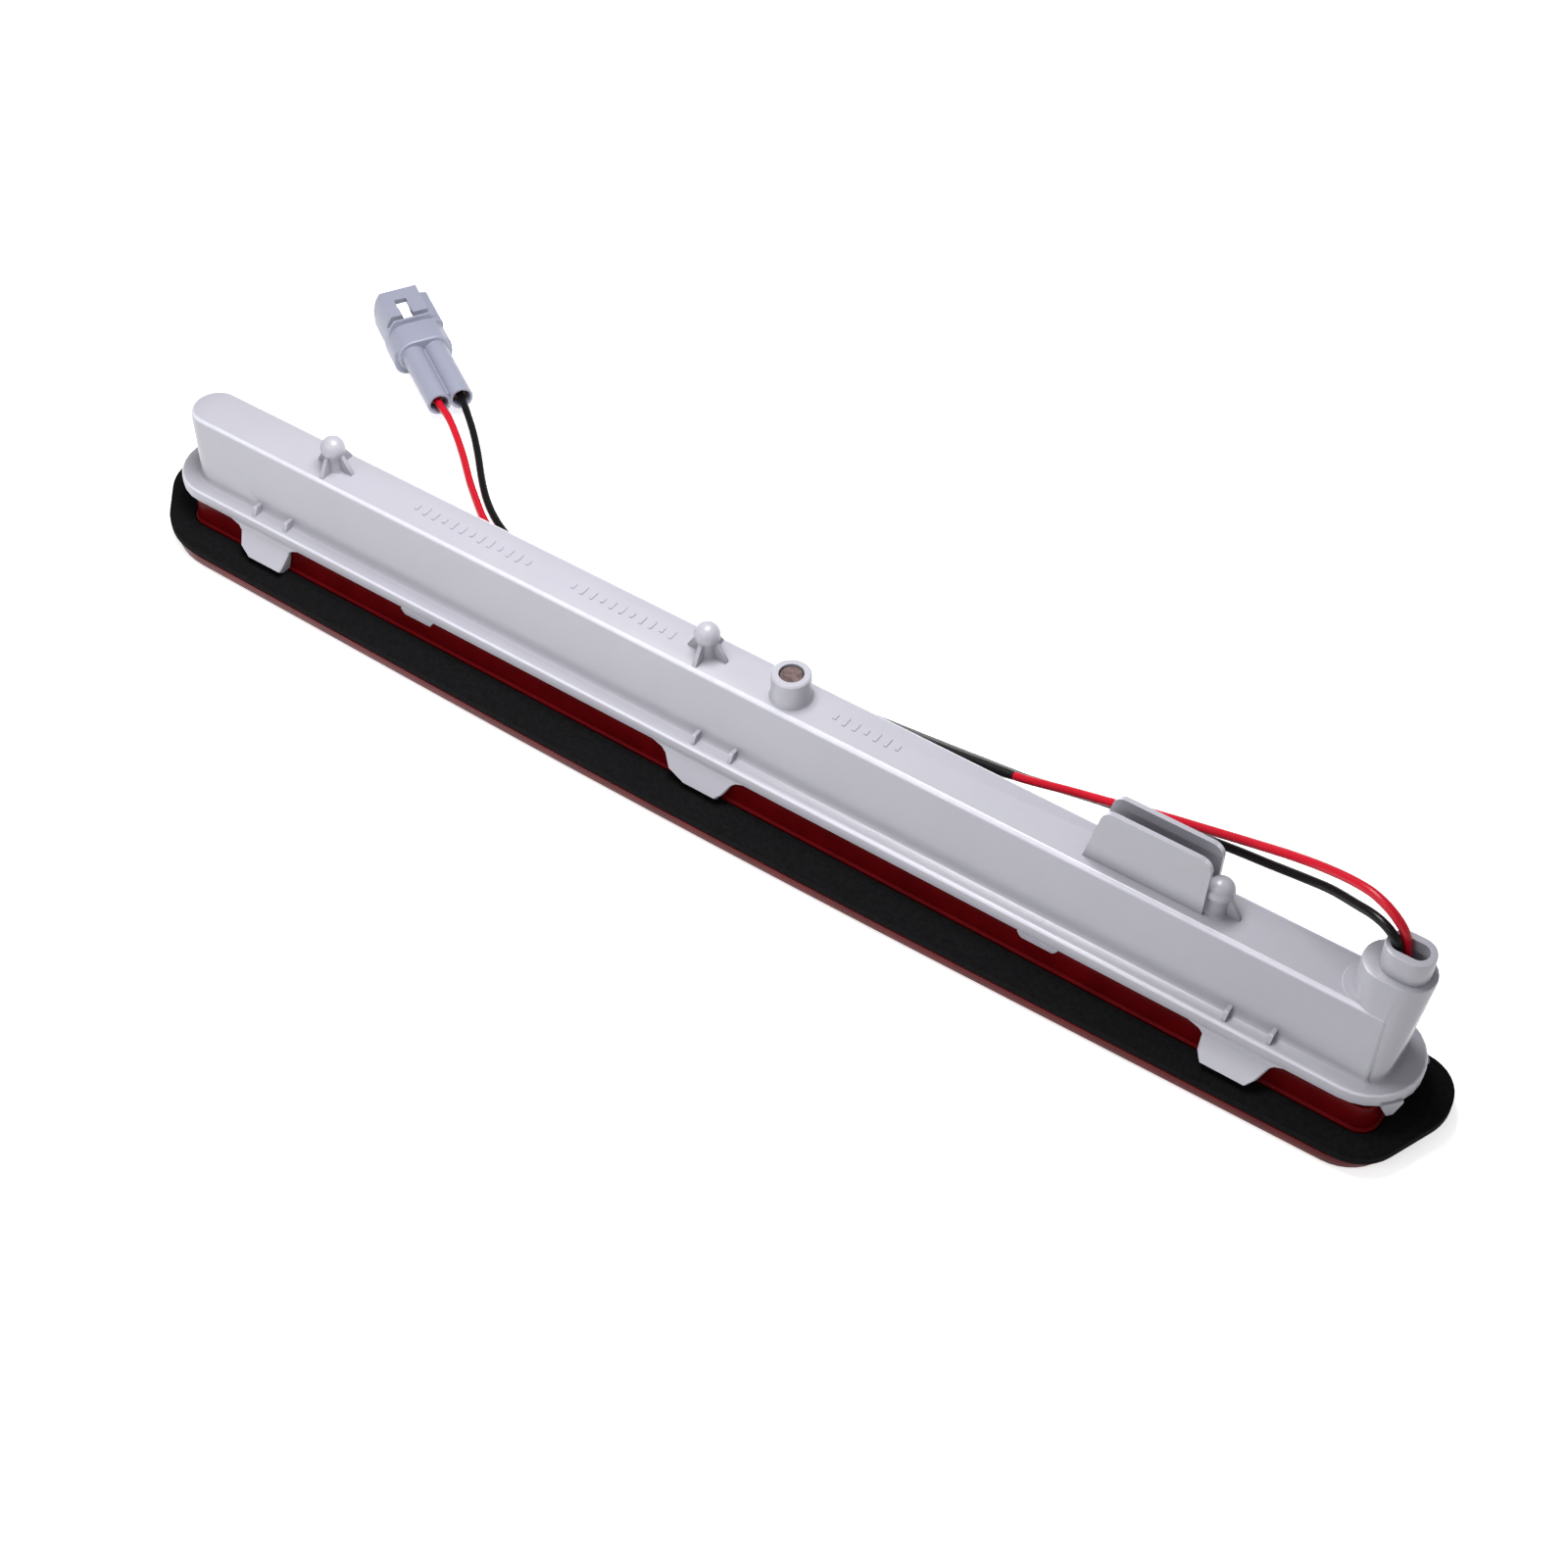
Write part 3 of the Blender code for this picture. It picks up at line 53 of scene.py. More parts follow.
def make_camera():
    """The camera, turned about its own axis by the roll that the picture shows."""
    data = bpy.data.cameras.new("camera")
    data.sensor_width = 36.0
    data.lens = FOCAL_LENGTH
    data.shift_x, data.shift_y = LENS_SHIFT
    data.clip_start = 0.01
    data.clip_end = 20.0
    camera = bpy.data.objects.new("camera", data)
    bpy.context.scene.collection.objects.link(camera)
    back = Vector((
        math.sin(AZIMUTH) * math.cos(ELEVATION),
        -math.cos(AZIMUTH) * math.cos(ELEVATION),
        math.sin(ELEVATION),
    ))
    right = Vector((math.cos(AZIMUTH), math.sin(AZIMUTH), 0.0))
    up = back.cross(right)
    turned_right = right * math.cos(ROLL) + up * math.sin(ROLL)
    turned_up = up * math.cos(ROLL) - right * math.sin(ROLL)
    matrix = Matrix((turned_right, turned_up, back)).transposed().to_4x4()
    matrix.translation = CAMERA_PLACE
    camera.matrix_world = matrix
    bpy.context.scene.camera = camera


make_camera()

# ---------------------------------------------------------------- cable

WIRE_DIAMETER = 1.8 * MM
WIRE_SIDES = 14
POINT_SPACING = 1.1 * MM
STEPS_PER_KNOT = 20
CORD_SMOOTH_ANGLE = math.radians(35)
SLEEVE_WALL = 0.3 * MM
SLEEVE_X = (54.6 * MM, -61.0 * MM)  # of its two ends
SLEEVE_SIDES = 28
SLEEVE_WAIST = 0.09  # how far its top and bottom sink between the two wires
SLEEVE_SQUARENESS = 0.7  # below 1, its outline is fuller than an ellipse
SLEEVE_END_GRIPS = (0.55, 0.75)  # shares of the wall at the first rings from either end
PLUG_REAR = Vector((-121.3, 55.4, 0.0)) * MM
PLUG_ANGLE = math.radians(148.5)
PLUG_AXIS_HEIGHT = 5.75 * MM
TUBE_SPREAD = 2.75 * MM
WIRE_DEPTHS = (0.0, 5.0 * MM, 10.2 * MM)  # knots of the wires' last stretch, inside the connector's tubes

# The routes of part.py, in millimetres; inside the sleeve each wire keeps to its own side of it.
RED_ROUTE = (
    (142.4, 2.6, 39.3), (142.1, 3.2, 42.2), (141.5, 3.35, 44.7), (140.5, 3.4, 46.9),
    (138.7, 3.6, 48.7), (136.3, 4.2, 49.8), (133.0, 5.3, 50.0), (128.5, 6.9, 48.7),
    (122.8, 8.7, 46.4), (116.0, 11.0, 42.8), (107.0, 13.8, 37.7), (97.0, 15.9, 33.0),
    (87.0, 17.6, 28.7), (77.0, 19.1, 24.2), (66.8, 20.5, 19.9), (55.4, 21.4, 15.7),
    (45.2, 22.0, 13.4), (35.0, 22.6, 11.2), (24.6, 23.1, 9.2), (13.0, 23.9, 7.0),
    (0.0, 24.4, 4.7), (-13.0, 24.9, 3.1), (-27.0, 25.2, 2.1), (-44.0, 25.25, 1.7),
    (-61.5, 25.2, 1.5), (-68.0, 25.1, 1.1), (-76.0, 25.7, 1.0), (-84.5, 27.8, 1.0),
    (-91.5, 31.3, 1.0), (-97.6, 35.6, 1.1), (-103.0, 39.7, 1.7), (-108.4, 44.2, 2.9),
    (-113.6, 48.0, 4.2), (-118.4, 51.0, 5.3),
)
BLACK_ROUTE = (
    (140.5, 2.1, 39.3), (140.95, 1.6, 42.0), (140.6, 1.7, 44.6), (139.8, 1.7, 46.0),
    (138.6, 1.9, 46.95), (137.1, 2.4, 47.35), (134.6, 3.4, 47.1), (130.8, 5.1, 45.6),
    (125.4, 7.6, 43.2), (119.0, 10.0, 39.9), (112.0, 12.5, 36.2), (104.0, 15.0, 32.5),
    (95.0, 17.1, 28.8), (86.0, 19.0, 25.1), (76.5, 20.9, 21.5), (66.8, 22.2, 17.9),
    (55.4, 23.1, 14.2), (45.2, 23.6, 12.2), (35.0, 24.2, 10.2), (24.6, 24.9, 8.2),
    (13.0, 25.7, 6.0), (0.0, 26.4, 3.9), (-13.0, 26.9, 2.5), (-27.0, 27.2, 1.9),
    (-44.0, 27.35, 1.7), (-61.5, 27.4, 1.5), (-68.0, 27.5, 1.1), (-76.0, 28.3, 1.0),
    (-83.5, 30.2, 1.0), (-90.0, 33.3, 1.0), (-96.0, 37.4, 1.1), (-101.0, 41.8, 1.6),
    (-105.9, 46.6, 2.8), (-110.6, 50.8, 4.1), (-115.4, 54.5, 5.3),
)


def plug_point(u, v, w):
    """A point of the connector's own frame, in the lamp's frame."""
    return Matrix.Translation(PLUG_REAR) @ Matrix.Rotation(PLUG_ANGLE, 4, "Z") @ Vector((u, v, w))


def smooth_points(route, spacing):
    """Points at an even spacing along a smooth curve through a route's points."""
    knots = np.array(route, float)
    chords = np.linalg.norm(np.diff(knots, axis=0), axis=1)
    times = np.concatenate([[0.0], np.cumsum(np.sqrt(chords))])
    slopes = np.gradient(knots, times, axis=0)
    fine = []
    for index in range(len(knots) - 1):
        step = times[index + 1] - times[index]
        for t in np.linspace(0.0, 1.0, STEPS_PER_KNOT, endpoint=False):
            fine.append(
                (2 * t**3 - 3 * t**2 + 1) * knots[index]
                + (t**3 - 2 * t**2 + t) * step * slopes[index]
                + (3 * t**2 - 2 * t**3) * knots[index + 1]
                + (t**3 - t**2) * step * slopes[index + 1]
            )
    fine = np.array(fine + [knots[-1]])
    along = np.concatenate([[0.0], np.cumsum(np.linalg.norm(np.diff(fine, axis=0), axis=1))])
    places = np.linspace(0.0, along[-1], max(3, round(along[-1] / spacing) + 1))
    return np.column_stack([np.interp(places, along, fine[:, axis]) for axis in range(3)])


def add_mesh(name, points, faces):
    """A mesh object, shaded smooth across its gentle edges."""
    mesh = bpy.data.meshes.new(name)
    mesh.from_pydata([tuple(point) for point in points], [], faces)
    mesh.validate()
    mesh.shade_smooth()
    mesh.set_sharp_from_angle(angle=CORD_SMOOTH_ANGLE)
    item = bpy.data.objects.new(name, mesh)
    bpy.context.scene.collection.objects.link(item)
    return item


def wire_mesh(name, points):
    """A round wire with closed ends along points, its rings carried along without twisting."""
    points = np.array(points)
    ahead = np.gradient(points, axis=0)
    ahead /= np.linalg.norm(ahead, axis=1)[:, None]
    across = np.cross(ahead[0], (0.0, 1.0, 0.0))
    verts = []
    for here, way in zip(points, ahead):
        across = across - way * (across @ way)
        across /= np.linalg.norm(across)
        lift = np.cross(way, across)
        for side in range(WIRE_SIDES):
            turn = 2 * math.pi * side / WIRE_SIDES
            verts.append(here + WIRE_DIAMETER / 2 * (across * math.cos(turn) + lift * math.sin(turn)))
    return add_mesh(name, verts, ring_faces(len(points), WIRE_SIDES))


def ring_faces(rings, sides):
    """The faces of a tube of rings, with both ends closed."""
    faces = []
    for index in range(rings - 1):
        low, high = index * sides, (index + 1) * sides
        for side in range(sides):
            after = (side + 1) % sides
            faces.append((low + side, low + after, high + after, high + side))
    faces.append(tuple(range(sides))[::-1])
    faces.append(tuple((rings - 1) * sides + side for side in range(sides)))
    return faces


def make_wire(name, route, v, slot, *nodes):
    """One insulated wire, from inside the outlet to inside its tube of the connector."""
    entry = [plug_point(u, v, PLUG_AXIS_HEIGHT) for u in WIRE_DEPTHS]
    points = smooth_points([Vector(point) * MM for point in route] + entry, POINT_SPACING)
    wire = wire_mesh(name, points)
    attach(wire, "root")
    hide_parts(*nodes)
    return wire, points


def make_sleeve(red, black):
    """The shrink sleeve, drawn tight over both wires, so that it is oval and shows their two backs."""
    red = red[(red[:, 0] < SLEEVE_X[0]) & (red[:, 0] > SLEEVE_X[1])]
    points = []
    for index, here in enumerate(red):
        ahead = red[min(index + 1, len(red) - 1)] - red[max(index - 1, 0)]
        ahead /= np.linalg.norm(ahead)
        near = black[np.abs(black[:, 0] - here[0]).argmin()]
        across = near - here
        across -= ahead * (across @ ahead)
        half_gap = np.linalg.norm(across) / 2
        across /= 2 * half_gap
        lift = np.cross(ahead, across)
        centre = here + across * half_gap
        end = min(index, len(red) - 1 - index)
        grip = SLEEVE_WALL * (SLEEVE_END_GRIPS[end] if end < len(SLEEVE_END_GRIPS) else 1.0)
        for side in range(SLEEVE_SIDES):
            turn = 2 * math.pi * side / SLEEVE_SIDES
            waist = 1.0 - SLEEVE_WAIST * math.sin(turn) ** 4
            squared = math.copysign(abs(math.sin(turn)) ** SLEEVE_SQUARENESS, math.sin(turn))
            wide = (half_gap + WIRE_DIAMETER / 2 + grip) * math.cos(turn)
            high = (WIRE_DIAMETER / 2 + grip) * squared * waist
            points.append(centre + across * wide + lift * high)
    sleeve = add_mesh("sleeve", points, ring_faces(len(red), SLEEVE_SIDES))
    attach(sleeve, "root")
    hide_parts("shrink_sleeve")
    return sleeve


def make_cable():
    """Both wires and the sleeve round them."""
    red, red_points = make_wire(
        "red_wire", RED_ROUTE, TUBE_SPREAD, "red_wire", "lead_red_lamp_side", "lead_red_plug_side"
    )
    black, black_points = make_wire(
        "black_wire", BLACK_ROUTE, -TUBE_SPREAD, "black_wire", "lead_black_lamp_side", "lead_black_plug_side"
    )
    sleeve = make_sleeve(red_points, black_points)
    return red, black, sleeve


RED_CORD, BLACK_CORD, SLEEVE = make_cable()

# ---------------------------------------------------------------- shading by angle

CAD_SMOOTH_ANGLE = math.radians(34)
WELD_DISTANCE = 1e-6


def smoothing_group():
    """A node group that shades a mesh smooth across its gentle edges."""
    group = bpy.data.node_groups.new("smooth_by_angle", "GeometryNodeTree")
    group.interface.new_socket("Geometry", in_out="INPUT", socket_type="NodeSocketGeometry")
    group.interface.new_socket("Geometry", in_out="OUTPUT", socket_type="NodeSocketGeometry")
    start = group.nodes.new("NodeGroupInput")
    end = group.nodes.new("NodeGroupOutput")
    angle = group.nodes.new("GeometryNodeInputMeshEdgeAngle")
    compare = group.nodes.new("FunctionNodeCompare")
    compare.operation = "LESS_THAN"
    compare.inputs[1].default_value = CAD_SMOOTH_ANGLE
    faces = group.nodes.new("GeometryNodeSetShadeSmooth")
    edges = group.nodes.new("GeometryNodeSetShadeSmooth")
    edges.domain = "EDGE"
    group.links.new(start.outputs[0], faces.inputs["Geometry"])
    group.links.new(faces.outputs[0], edges.inputs["Geometry"])
    group.links.new(angle.outputs["Unsigned Angle"], compare.inputs[0])
    every = group.nodes.new("FunctionNodeInputBool")
    every.boolean = True
    group.links.new(every.outputs[0], edges.inputs["Selection"])
    group.links.new(compare.outputs[0], edges.inputs["Shade Smooth"])
    group.links.new(edges.outputs[0], end.inputs[0])
    return group


SMOOTHING = smoothing_group()


def soften(item):
    """Joins a CAD solid's split corners and shades it smooth across gentle edges."""
    if "custom_normal" in item.data.attributes:
        item.data.attributes.remove(item.data.attributes["custom_normal"])
    weld = item.modifiers.new("weld", "WELD")
    weld.merge_threshold = WELD_DISTANCE
    shade = item.modifiers.new("shade", "NODES")
    shade.node_group = SMOOTHING


# ---------------------------------------------------------------- materials

MIX_COLOUR_INPUTS = (6, 7)
MIX_COLOUR_OUTPUT = 2
GRAIN = 0.35 * MM
GRAIN_DEPTH = 0.006 * MM
VINYL_GRAIN_DEPTH = 0.01 * MM
TUBING_GRAIN_DEPTH = 0.02 * MM
FLOW_MARK = 22 * MM
SCUFF = 2.4 * MM
MOTTLE = 0.04
HOUSING_MOTTLE = 0.025
SPECK_SHARE = 0.35
SPECK_TO_MOTTLE = 2.5
# Width of the lighter edges on moulded plastics, partly rubbed wear and partly a painted highlight.
WEAR_AND_HIGHLIGHT_EDGE = 0.2 * MM
# Width of the lens's edges that get the painted glow.
LENS_PAINTED_LIGHT_EDGE = 0.3 * MM
EDGE_COSINES = (0.85, 0.995)  # between the true normal and the rounded one, at an edge and off it
GREY = (0.29, 0.287, 0.324)
CONNECTOR_GREY = (0.215, 0.223, 0.287)
LENS_RED = (0.07, 0.0011, 0.002)
LENS_PAINTED_LIGHT_RED = (0.2, 0.004, 0.007)
BOARD_GREEN = (0.015, 0.13, 0.05)
# How much lighter the painted highlight makes the housing's grey on its rounded edges.
PAINTED_HIGHLIGHT_SHARE = 0.62
PAINTED_HIGHLIGHT_FROM = (0.3, 0.6)  # the upward part of the normal, where the painted highlight on a rounded edge starts
PAINTED_HIGHLIGHT_TO = (0.86, 0.97)  # and where the painted highlight fades into a flat top
# Heights that get the painted highlight: the rim's edge, the body up to its top edge, and the cable outlet's
# top; the tabs and pegs stay plain.
PAINTED_HIGHLIGHT_HEIGHTS = ((13.3 * MM, 14.65 * MM), (16.1 * MM, 31.05 * MM), (39.1 * MM, 50.0 * MM))


def principled(name, colour, roughness, metallic=0.0, **more):
    """A Principled material, and its node tree and shader."""
    material = bpy.data.materials.new(name)
    material.use_nodes = True
    shader = material.node_tree.nodes["Principled BSDF"]
    shader.inputs["Base Color"].default_value = (*colour, 1.0)
    shader.inputs["Roughness"].default_value = roughness
    shader.inputs["Metallic"].default_value = metallic
    for key, value in more.items():
        shader.inputs[key.replace("_", " ")].default_value = value
    return material, material.node_tree, shader


def noise(tree, coords, size, detail=3.0, rough=0.55):
    """Noise whose features are about size across, in metres."""
    item = tree.nodes.new("ShaderNodeTexNoise")
    item.inputs["Scale"].default_value = 1.0 / size
    item.inputs["Detail"].default_value = detail
    item.inputs["Roughness"].default_value = rough
    tree.links.new(coords, item.inputs["Vector"])
    return item.outputs["Fac"]


def remap(tree, value, low, high, from_low=0.3, from_high=0.7):
    """A value carried from one range to another, clamped; noise mostly lies within 0.3 to 0.7."""
    item = tree.nodes.new("ShaderNodeMapRange")
    item.inputs["From Min"].default_value = from_low
    item.inputs["From Max"].default_value = from_high
    item.inputs["To Min"].default_value = low
    item.inputs["To Max"].default_value = high
    tree.links.new(value, item.inputs["Value"])
    return item.outputs["Result"]


def blend_colours(tree, share, first, second):
    """A mix of two colours, either of them fixed or linked."""
    item = tree.nodes.new("ShaderNodeMix")
    item.data_type = "RGBA"
    tree.links.new(share, item.inputs["Factor"])
    for number, value in zip(MIX_COLOUR_INPUTS, (first, second)):
        if isinstance(value, tuple):
            item.inputs[number].default_value = (*value, 1.0)
        else:
            tree.links.new(value, item.inputs[number])
    return item.outputs[MIX_COLOUR_OUTPUT]


def bump(tree, shader, height, depth, strength=1.0, normal=None):
    """Bump on a shader, its height field depth deep, in metres."""
    item = tree.nodes.new("ShaderNodeBump")
    item.inputs["Strength"].default_value = strength
    item.inputs["Distance"].default_value = depth
    tree.links.new(height, item.inputs["Height"])
    if normal is not None:
        tree.links.new(normal, item.inputs["Normal"])
    tree.links.new(item.outputs["Normal"], shader.inputs["Normal"])


def edge_mask(tree, radius):
    """Near 1 along edges and corners, and 0 on open faces; and the normal with its edges rounded."""
    rounded = tree.nodes.new("ShaderNodeBevel")
    rounded.samples = 6
    rounded.inputs["Radius"].default_value = radius
    surface = tree.nodes.new("ShaderNodeNewGeometry")
    dot = tree.nodes.new("ShaderNodeVectorMath")
    dot.operation = "DOT_PRODUCT"
    tree.links.new(rounded.outputs["Normal"], dot.inputs[0])
    tree.links.new(surface.outputs["Normal"], dot.inputs[1])
    return remap(tree, dot.outputs["Value"], 1.0, 0.0, *EDGE_COSINES), rounded.outputs["Normal"]


def shades(colour, share):
    """A colour made lighter or darker by a share of itself."""
    return tuple(min(1.0, channel * (1.0 + share)) for channel in colour)


def calculate(tree, operation, *values):
    """One value made from several by a chain of Math nodes."""
    result = values[0]
    for value in values[1:]:
        item = tree.nodes.new("ShaderNodeMath")
        item.operation = operation
        tree.links.new(result, item.inputs[0])
        tree.links.new(value, item.inputs[1])
        result = item.outputs[0]
    return result


def mottled(tree, coords, colour, grain, mottle):
    """A plastic's grain, its scuffs, and its colour with faint flow marks and dark specks."""
    fine = noise(tree, coords, grain)
    flow = noise(tree, coords, FLOW_MARK, 2.0)
    scuffs = noise(tree, coords, SCUFF, 5.0, 0.7)
    base = blend_colours(tree, remap(tree, flow, 0.0, 1.0), shades(colour, -mottle), shades(colour, mottle))
    speck = shades(colour, -SPECK_TO_MOTTLE * mottle)
    return fine, scuffs, blend_colours(tree, remap(tree, fine, 0.0, SPECK_SHARE), base, speck)


def moulded(name, colour, roughness, grain=GRAIN, depth=GRAIN_DEPTH, wear_and_highlight=0.3, shine=0.5):
    """Moulded plastic: fine grain, faint flow marks, uneven gloss, and edges made lighter, partly as rubbed
    wear and partly as a painted highlight.
    """
    material, tree, shader = principled(name, colour, roughness, Specular_IOR_Level=shine)
    coords = tree.nodes.new("ShaderNodeTexCoord").outputs["Object"]
    fine, scuffs, specked = mottled(tree, coords, colour, grain, MOTTLE)
    tree.links.new(remap(tree, scuffs, roughness - 0.02, roughness + 0.03), shader.inputs["Roughness"])
    if not wear_and_highlight:
        tree.links.new(specked, shader.inputs["Base Color"])
        bump(tree, shader, fine, depth)
        return material
    # Lighter edges: partly rubbed wear, partly a painted highlight.
    mask, normal = edge_mask(tree, WEAR_AND_HIGHLIGHT_EDGE)
    share = calculate(tree, "MULTIPLY", mask, remap(tree, scuffs, 0.5, 1.0))
    worn_and_highlighted = blend_colours(tree, share, specked, shades(colour, wear_and_highlight))
    tree.links.new(worn_and_highlighted, shader.inputs["Base Color"])
    bump(tree, shader, fine, depth, 1.0, normal)
    return material


def height_bands(tree, height, bands):
    """1 within any of several bands of height, and 0 between them, with soft lower ends."""
    shares = []
    for low, high in bands:
        rise = remap(tree, height, 0.0, 1.0, low, low + 0.3 * MM)
        fall = remap(tree, height, 1.0, 0.0, high, high + 0.05 * MM)
        shares.append(calculate(tree, "MULTIPLY", rise, fall))
    return calculate(tree, "MAXIMUM", *shares)


def make_housing_material():
    """Grey plastic with a painted highlight on its rounded outer edges that face partly up: the rim's, the
    body's and the outlet's.
    """
    material, tree, shader = principled("grey_plastic", GREY, 0.32)
    coords = tree.nodes.new("ShaderNodeTexCoord").outputs["Object"]
    surface = tree.nodes.new("ShaderNodeNewGeometry")
    split = [tree.nodes.new("ShaderNodeSeparateXYZ") for _ in range(2)]
    tree.links.new(surface.outputs["Normal"], split[0].inputs[0])
    tree.links.new(coords, split[1].inputs[0])
    facing, height = (item.outputs["Z"] for item in split)
    fine, scuffs, specked = mottled(tree, coords, GREY, GRAIN, HOUSING_MOTTLE)
    # Painted highlight: rounded edges whose normals face partly up, within the given heights, are mixed
    # toward a lighter grey.
    rounded = calculate(
        tree,
        "MULTIPLY",
        remap(tree, facing, 0.0, 1.0, *PAINTED_HIGHLIGHT_FROM),
        remap(tree, facing, 1.0, 0.0, *PAINTED_HIGHLIGHT_TO),
        height_bands(tree, height, PAINTED_HIGHLIGHT_HEIGHTS),
        remap(tree, scuffs, 0.75, 1.0),
    )
    highlighted_colour = blend_colours(tree, rounded, specked, shades(GREY, PAINTED_HIGHLIGHT_SHARE))
    tree.links.new(highlighted_colour, shader.inputs["Base Color"])
    tree.links.new(remap(tree, scuffs, 0.3, 0.35), shader.inputs["Roughness"])
    bump(tree, shader, fine, GRAIN_DEPTH)
    return material


def dress(material, *names):
    """Gives CAD nodes a material."""
    for name in names:
        item = NODES[name]
        item.data.materials.clear()
        item.data.materials.append(material)
        soften(item)


def make_lens_material():
    """Deep red clear plastic, nearly black where it is thick; its edges are painted a brighter red, a
    painted glow and highlight of light gathering there.
    """
    material, tree, shader = principled("red_lens", LENS_RED, 0.22, Specular_IOR_Level=0.05)
    coords = tree.nodes.new("ShaderNodeTexCoord").outputs["Object"]
    flow = noise(tree, coords, 9 * MM, 2.0)
    dust = noise(tree, coords, 0.5 * MM, 4.0, 0.7)
    mask, normal = edge_mask(tree, LENS_PAINTED_LIGHT_EDGE)
    base = blend_colours(tree, remap(tree, flow, 0.0, 1.0), shades(LENS_RED, -0.25), shades(LENS_RED, 0.2))
    # Painted light: the lens's edges are mixed toward a brighter red.
    tree.links.new(blend_colours(tree, mask, base, LENS_PAINTED_LIGHT_RED), shader.inputs["Base Color"])
    tree.links.new(remap(tree, dust, 0.15, 0.28), shader.inputs["Roughness"])
    bump(tree, shader, flow, 0.03 * MM, 0.4, normal)
    return material


def make_foam_material(name, colour, cell, depth):
    """Foam: small cells with pale specks."""
    material, tree, shader = principled(name, colour, 0.95, Specular_IOR_Level=0.06)
    coords = tree.nodes.new("ShaderNodeTexCoord").outputs["Object"]
    cells = tree.nodes.new("ShaderNodeTexVoronoi")
    cells.inputs["Scale"].default_value = 1.0 / cell
    tree.links.new(coords, cells.inputs["Vector"])
    fuzz = noise(tree, coords, cell * 3, 4.0, 0.7)
    share = remap(tree, fuzz, 0.0, 1.0)
    mixed = blend_colours(tree, share, shades(colour, -0.35), shades(colour, 0.7))
    tree.links.new(mixed, shader.inputs["Base Color"])
    bump(tree, shader, cells.outputs["Distance"], depth, 0.8)
    return material


def make_metal(name, colour, roughness, grain):
    """Bright metal with a fine drawn grain and uneven polish."""
    material, tree, shader = principled(name, colour, roughness, 1.0)
    coords = tree.nodes.new("ShaderNodeTexCoord").outputs["Object"]
    fine = noise(tree, coords, grain, 4.0)
    broad = noise(tree, coords, 5 * MM)
    base = blend_colours(tree, remap(tree, broad, 0.0, 1.0), shades(colour, -0.12), shades(colour, 0.05))
    tree.links.new(base, shader.inputs["Base Color"])
    tree.links.new(remap(tree, broad, roughness * 0.7, roughness * 1.5), shader.inputs["Roughness"])
    bump(tree, shader, fine, 0.002 * MM, 0.5)
    return material


def make_board_material():
    """Green solder resist: glossy, with the glass weave faintly through it and copper tracks under it."""
    material, tree, shader = principled("board", BOARD_GREEN, 0.3, Coat_Weight=0.4)
    coords = tree.nodes.new("ShaderNodeTexCoord").outputs["Object"]
    weave = tree.nodes.new("ShaderNodeTexWave")
    weave.inputs["Scale"].default_value = 1.0 / (1.6 * MM)
    tree.links.new(coords, weave.inputs["Vector"])
    tracks = tree.nodes.new("ShaderNodeTexBrick")
    tracks.inputs["Scale"].default_value = 1.0 / (9 * MM)
    tracks.inputs["Color1"].default_value = (*BOARD_GREEN, 1.0)
    tracks.inputs["Color2"].default_value = (*shades(BOARD_GREEN, 0.5), 1.0)
    tracks.inputs["Mortar"].default_value = (*shades(BOARD_GREEN, -0.4), 1.0)
    tree.links.new(coords, tracks.inputs["Vector"])
    tree.links.new(tracks.outputs["Color"], shader.inputs["Base Color"])
    bump(tree, shader, weave.outputs["Fac"], 0.01 * MM, 0.4)
    return material


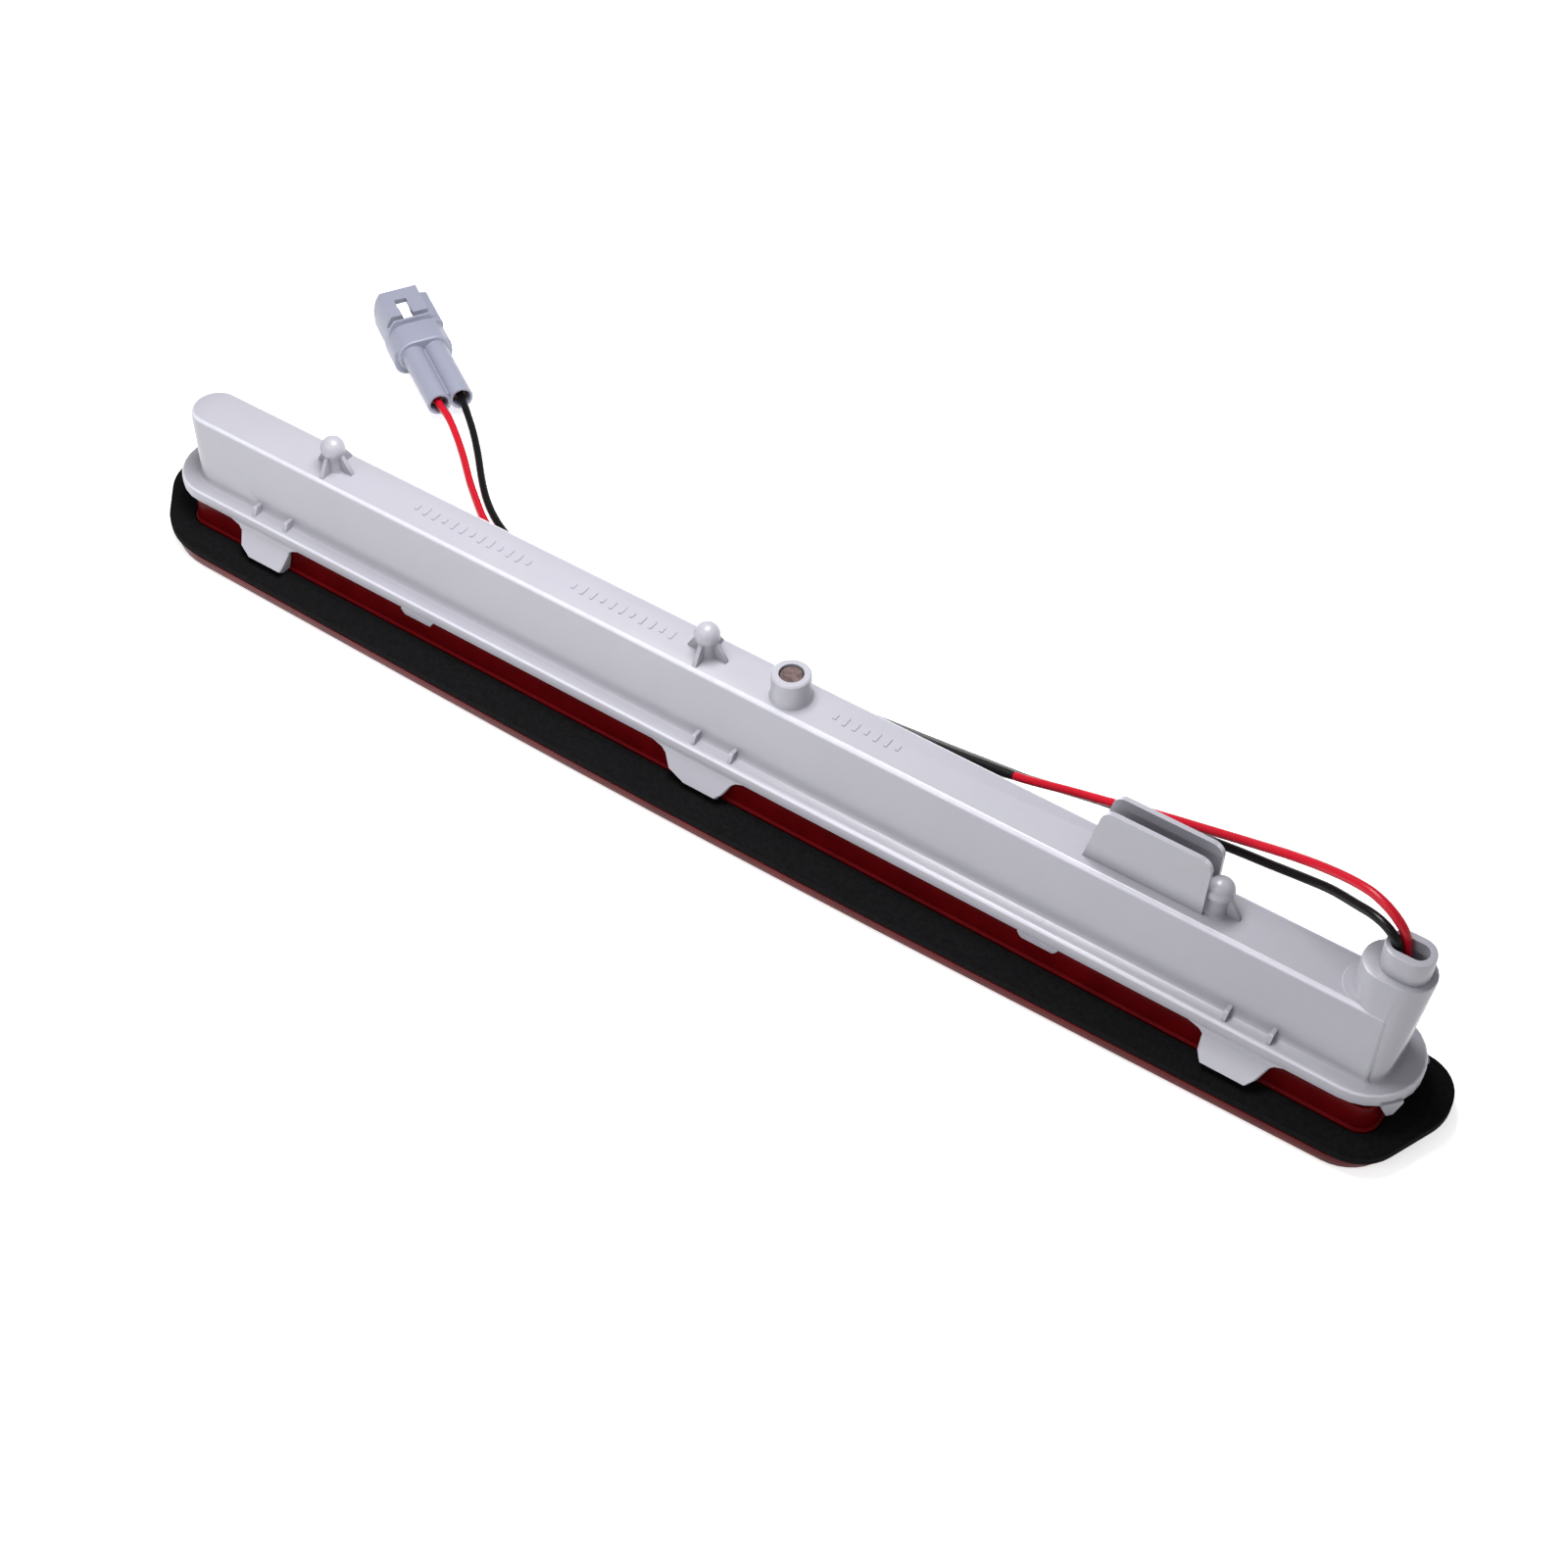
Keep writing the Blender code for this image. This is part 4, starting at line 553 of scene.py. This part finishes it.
def make_materials():
    """Every piece's material."""
    dress(make_housing_material(), "rear_housing")
    dress(make_lens_material(), "lens")
    dress(make_foam_material("gasket_foam", (0.003, 0.003, 0.0034), 0.28 * MM, 0.05 * MM), "foam_gasket")
    dress(make_foam_material("breather_foam", (0.085, 0.06, 0.058), 0.45 * MM, 0.1 * MM), "breather_plug")
    dress(moulded("grommet_rubber", (0.02, 0.02, 0.021), 0.6), "cable_grommet")
    dress(make_metal("reflector_metal", (0.85, 0.85, 0.87), 0.12, 0.4 * MM), "reflector")
    dress(make_board_material(), "circuit_board")
    leds = [name for name in NODES if name.startswith("led_")]
    dress(moulded("led_package", (0.82, 0.79, 0.7), 0.35), *leds)
    chips = [name for name in NODES if name.startswith("resistor_")] + ["protection_diode"]
    dress(moulded("chip_epoxy", (0.022, 0.022, 0.023), 0.5, grain=0.12 * MM), *chips)
    screws = [name for name in NODES if name.startswith("board_screw_")]
    dress(make_metal("screw_steel", (0.56, 0.56, 0.58), 0.3, 0.15 * MM), *screws)
    dress(moulded("connector_plastic", CONNECTOR_GREY, 0.45), "connector_housing")
    dress(moulded("retainer_nylon", (0.8, 0.79, 0.76), 0.4, wear_and_highlight=0.1), "terminal_retainer")
    brass = make_metal("tinned_brass", (0.75, 0.72, 0.65), 0.28, 0.1 * MM)
    dress(brass, "terminal_pin_red", "terminal_pin_black")
    dress(moulded("seal_rubber", (0.2, 0.08, 0.06), 0.6), "wire_seal_red", "wire_seal_black")
    vinyl = {"depth": VINYL_GRAIN_DEPTH, "wear_and_highlight": 0}
    red = moulded("red_vinyl", (0.40, 0.003, 0.014), 0.3, shine=0.25, **vinyl)
    black = moulded("black_vinyl", (0.003, 0.0025, 0.003), 0.28, shine=0.2, **vinyl)
    RED_CORD.data.materials.append(red)
    BLACK_CORD.data.materials.append(black)
    dress(red, "lead_red_inner")
    dress(black, "lead_black_inner")
    tubing = {"depth": TUBING_GRAIN_DEPTH, "wear_and_highlight": 0, "shine": 0.2}
    SLEEVE.data.materials.append(moulded("shrink_tubing", (0.0035, 0.0035, 0.004), 0.4, **tubing))


make_materials()

# ---------------------------------------------------------------- floor and light

WHITE = (1.0, 1.0, 1.0, 1.0)
FLOOR_HALF = 6.0
FLOOR_GLOW = 0.6
SURROUND_STRENGTH = 0.4


def make_floor():
    """A plain pale floor, which glows a little so that it stays white in the lamp's shadow."""
    mesh = bpy.data.meshes.new("floor")
    corners = [(x * FLOOR_HALF, y * FLOOR_HALF, 0.0) for x, y in ((-1, -1), (1, -1), (1, 1), (-1, 1))]
    mesh.from_pydata(corners, [], [(0, 1, 2, 3)])
    floor = bpy.data.objects.new("floor", mesh)
    bpy.context.scene.collection.objects.link(floor)
    glow = {"Emission_Color": WHITE, "Emission_Strength": FLOOR_GLOW}
    material, _, _ = principled("floor_white", (0.8, 0.8, 0.8), 0.9, Specular_IOR_Level=0.1, **glow)
    mesh.materials.append(material)


def area_light(name, place, target, width, height, power):
    """A rectangular area light that points at target, its width level."""
    data = bpy.data.lights.new(name, "AREA")
    data.shape = "RECTANGLE"
    data.size = width
    data.size_y = height
    data.energy = power
    light = bpy.data.objects.new(name, data)
    bpy.context.scene.collection.objects.link(light)
    light.location = place
    direction = Vector(target) - Vector(place)
    light.rotation_mode = "QUATERNION"
    light.rotation_quaternion = direction.to_track_quat("-Z", "Y")


def make_light():
    """A white surround, a key light over the left half, and a long strip that draws lines on the edges."""
    world = bpy.data.worlds.new("studio")
    bpy.context.scene.world = world
    world.use_nodes = True
    background = world.node_tree.nodes["Background"]
    background.inputs["Color"].default_value = WHITE
    background.inputs["Strength"].default_value = SURROUND_STRENGTH
    area_light("key", (-0.03, 0.02, 0.34), (-0.2, 0.0, 0.0), 0.18, 0.18, 2.2)
    area_light("strip", (-0.16, -0.62, 0.46), (-0.16, 0.0, 0.0), 0.8, 0.06, 2.0)
    bpy.context.scene.view_settings.view_transform = "Standard"


make_floor()
make_light()
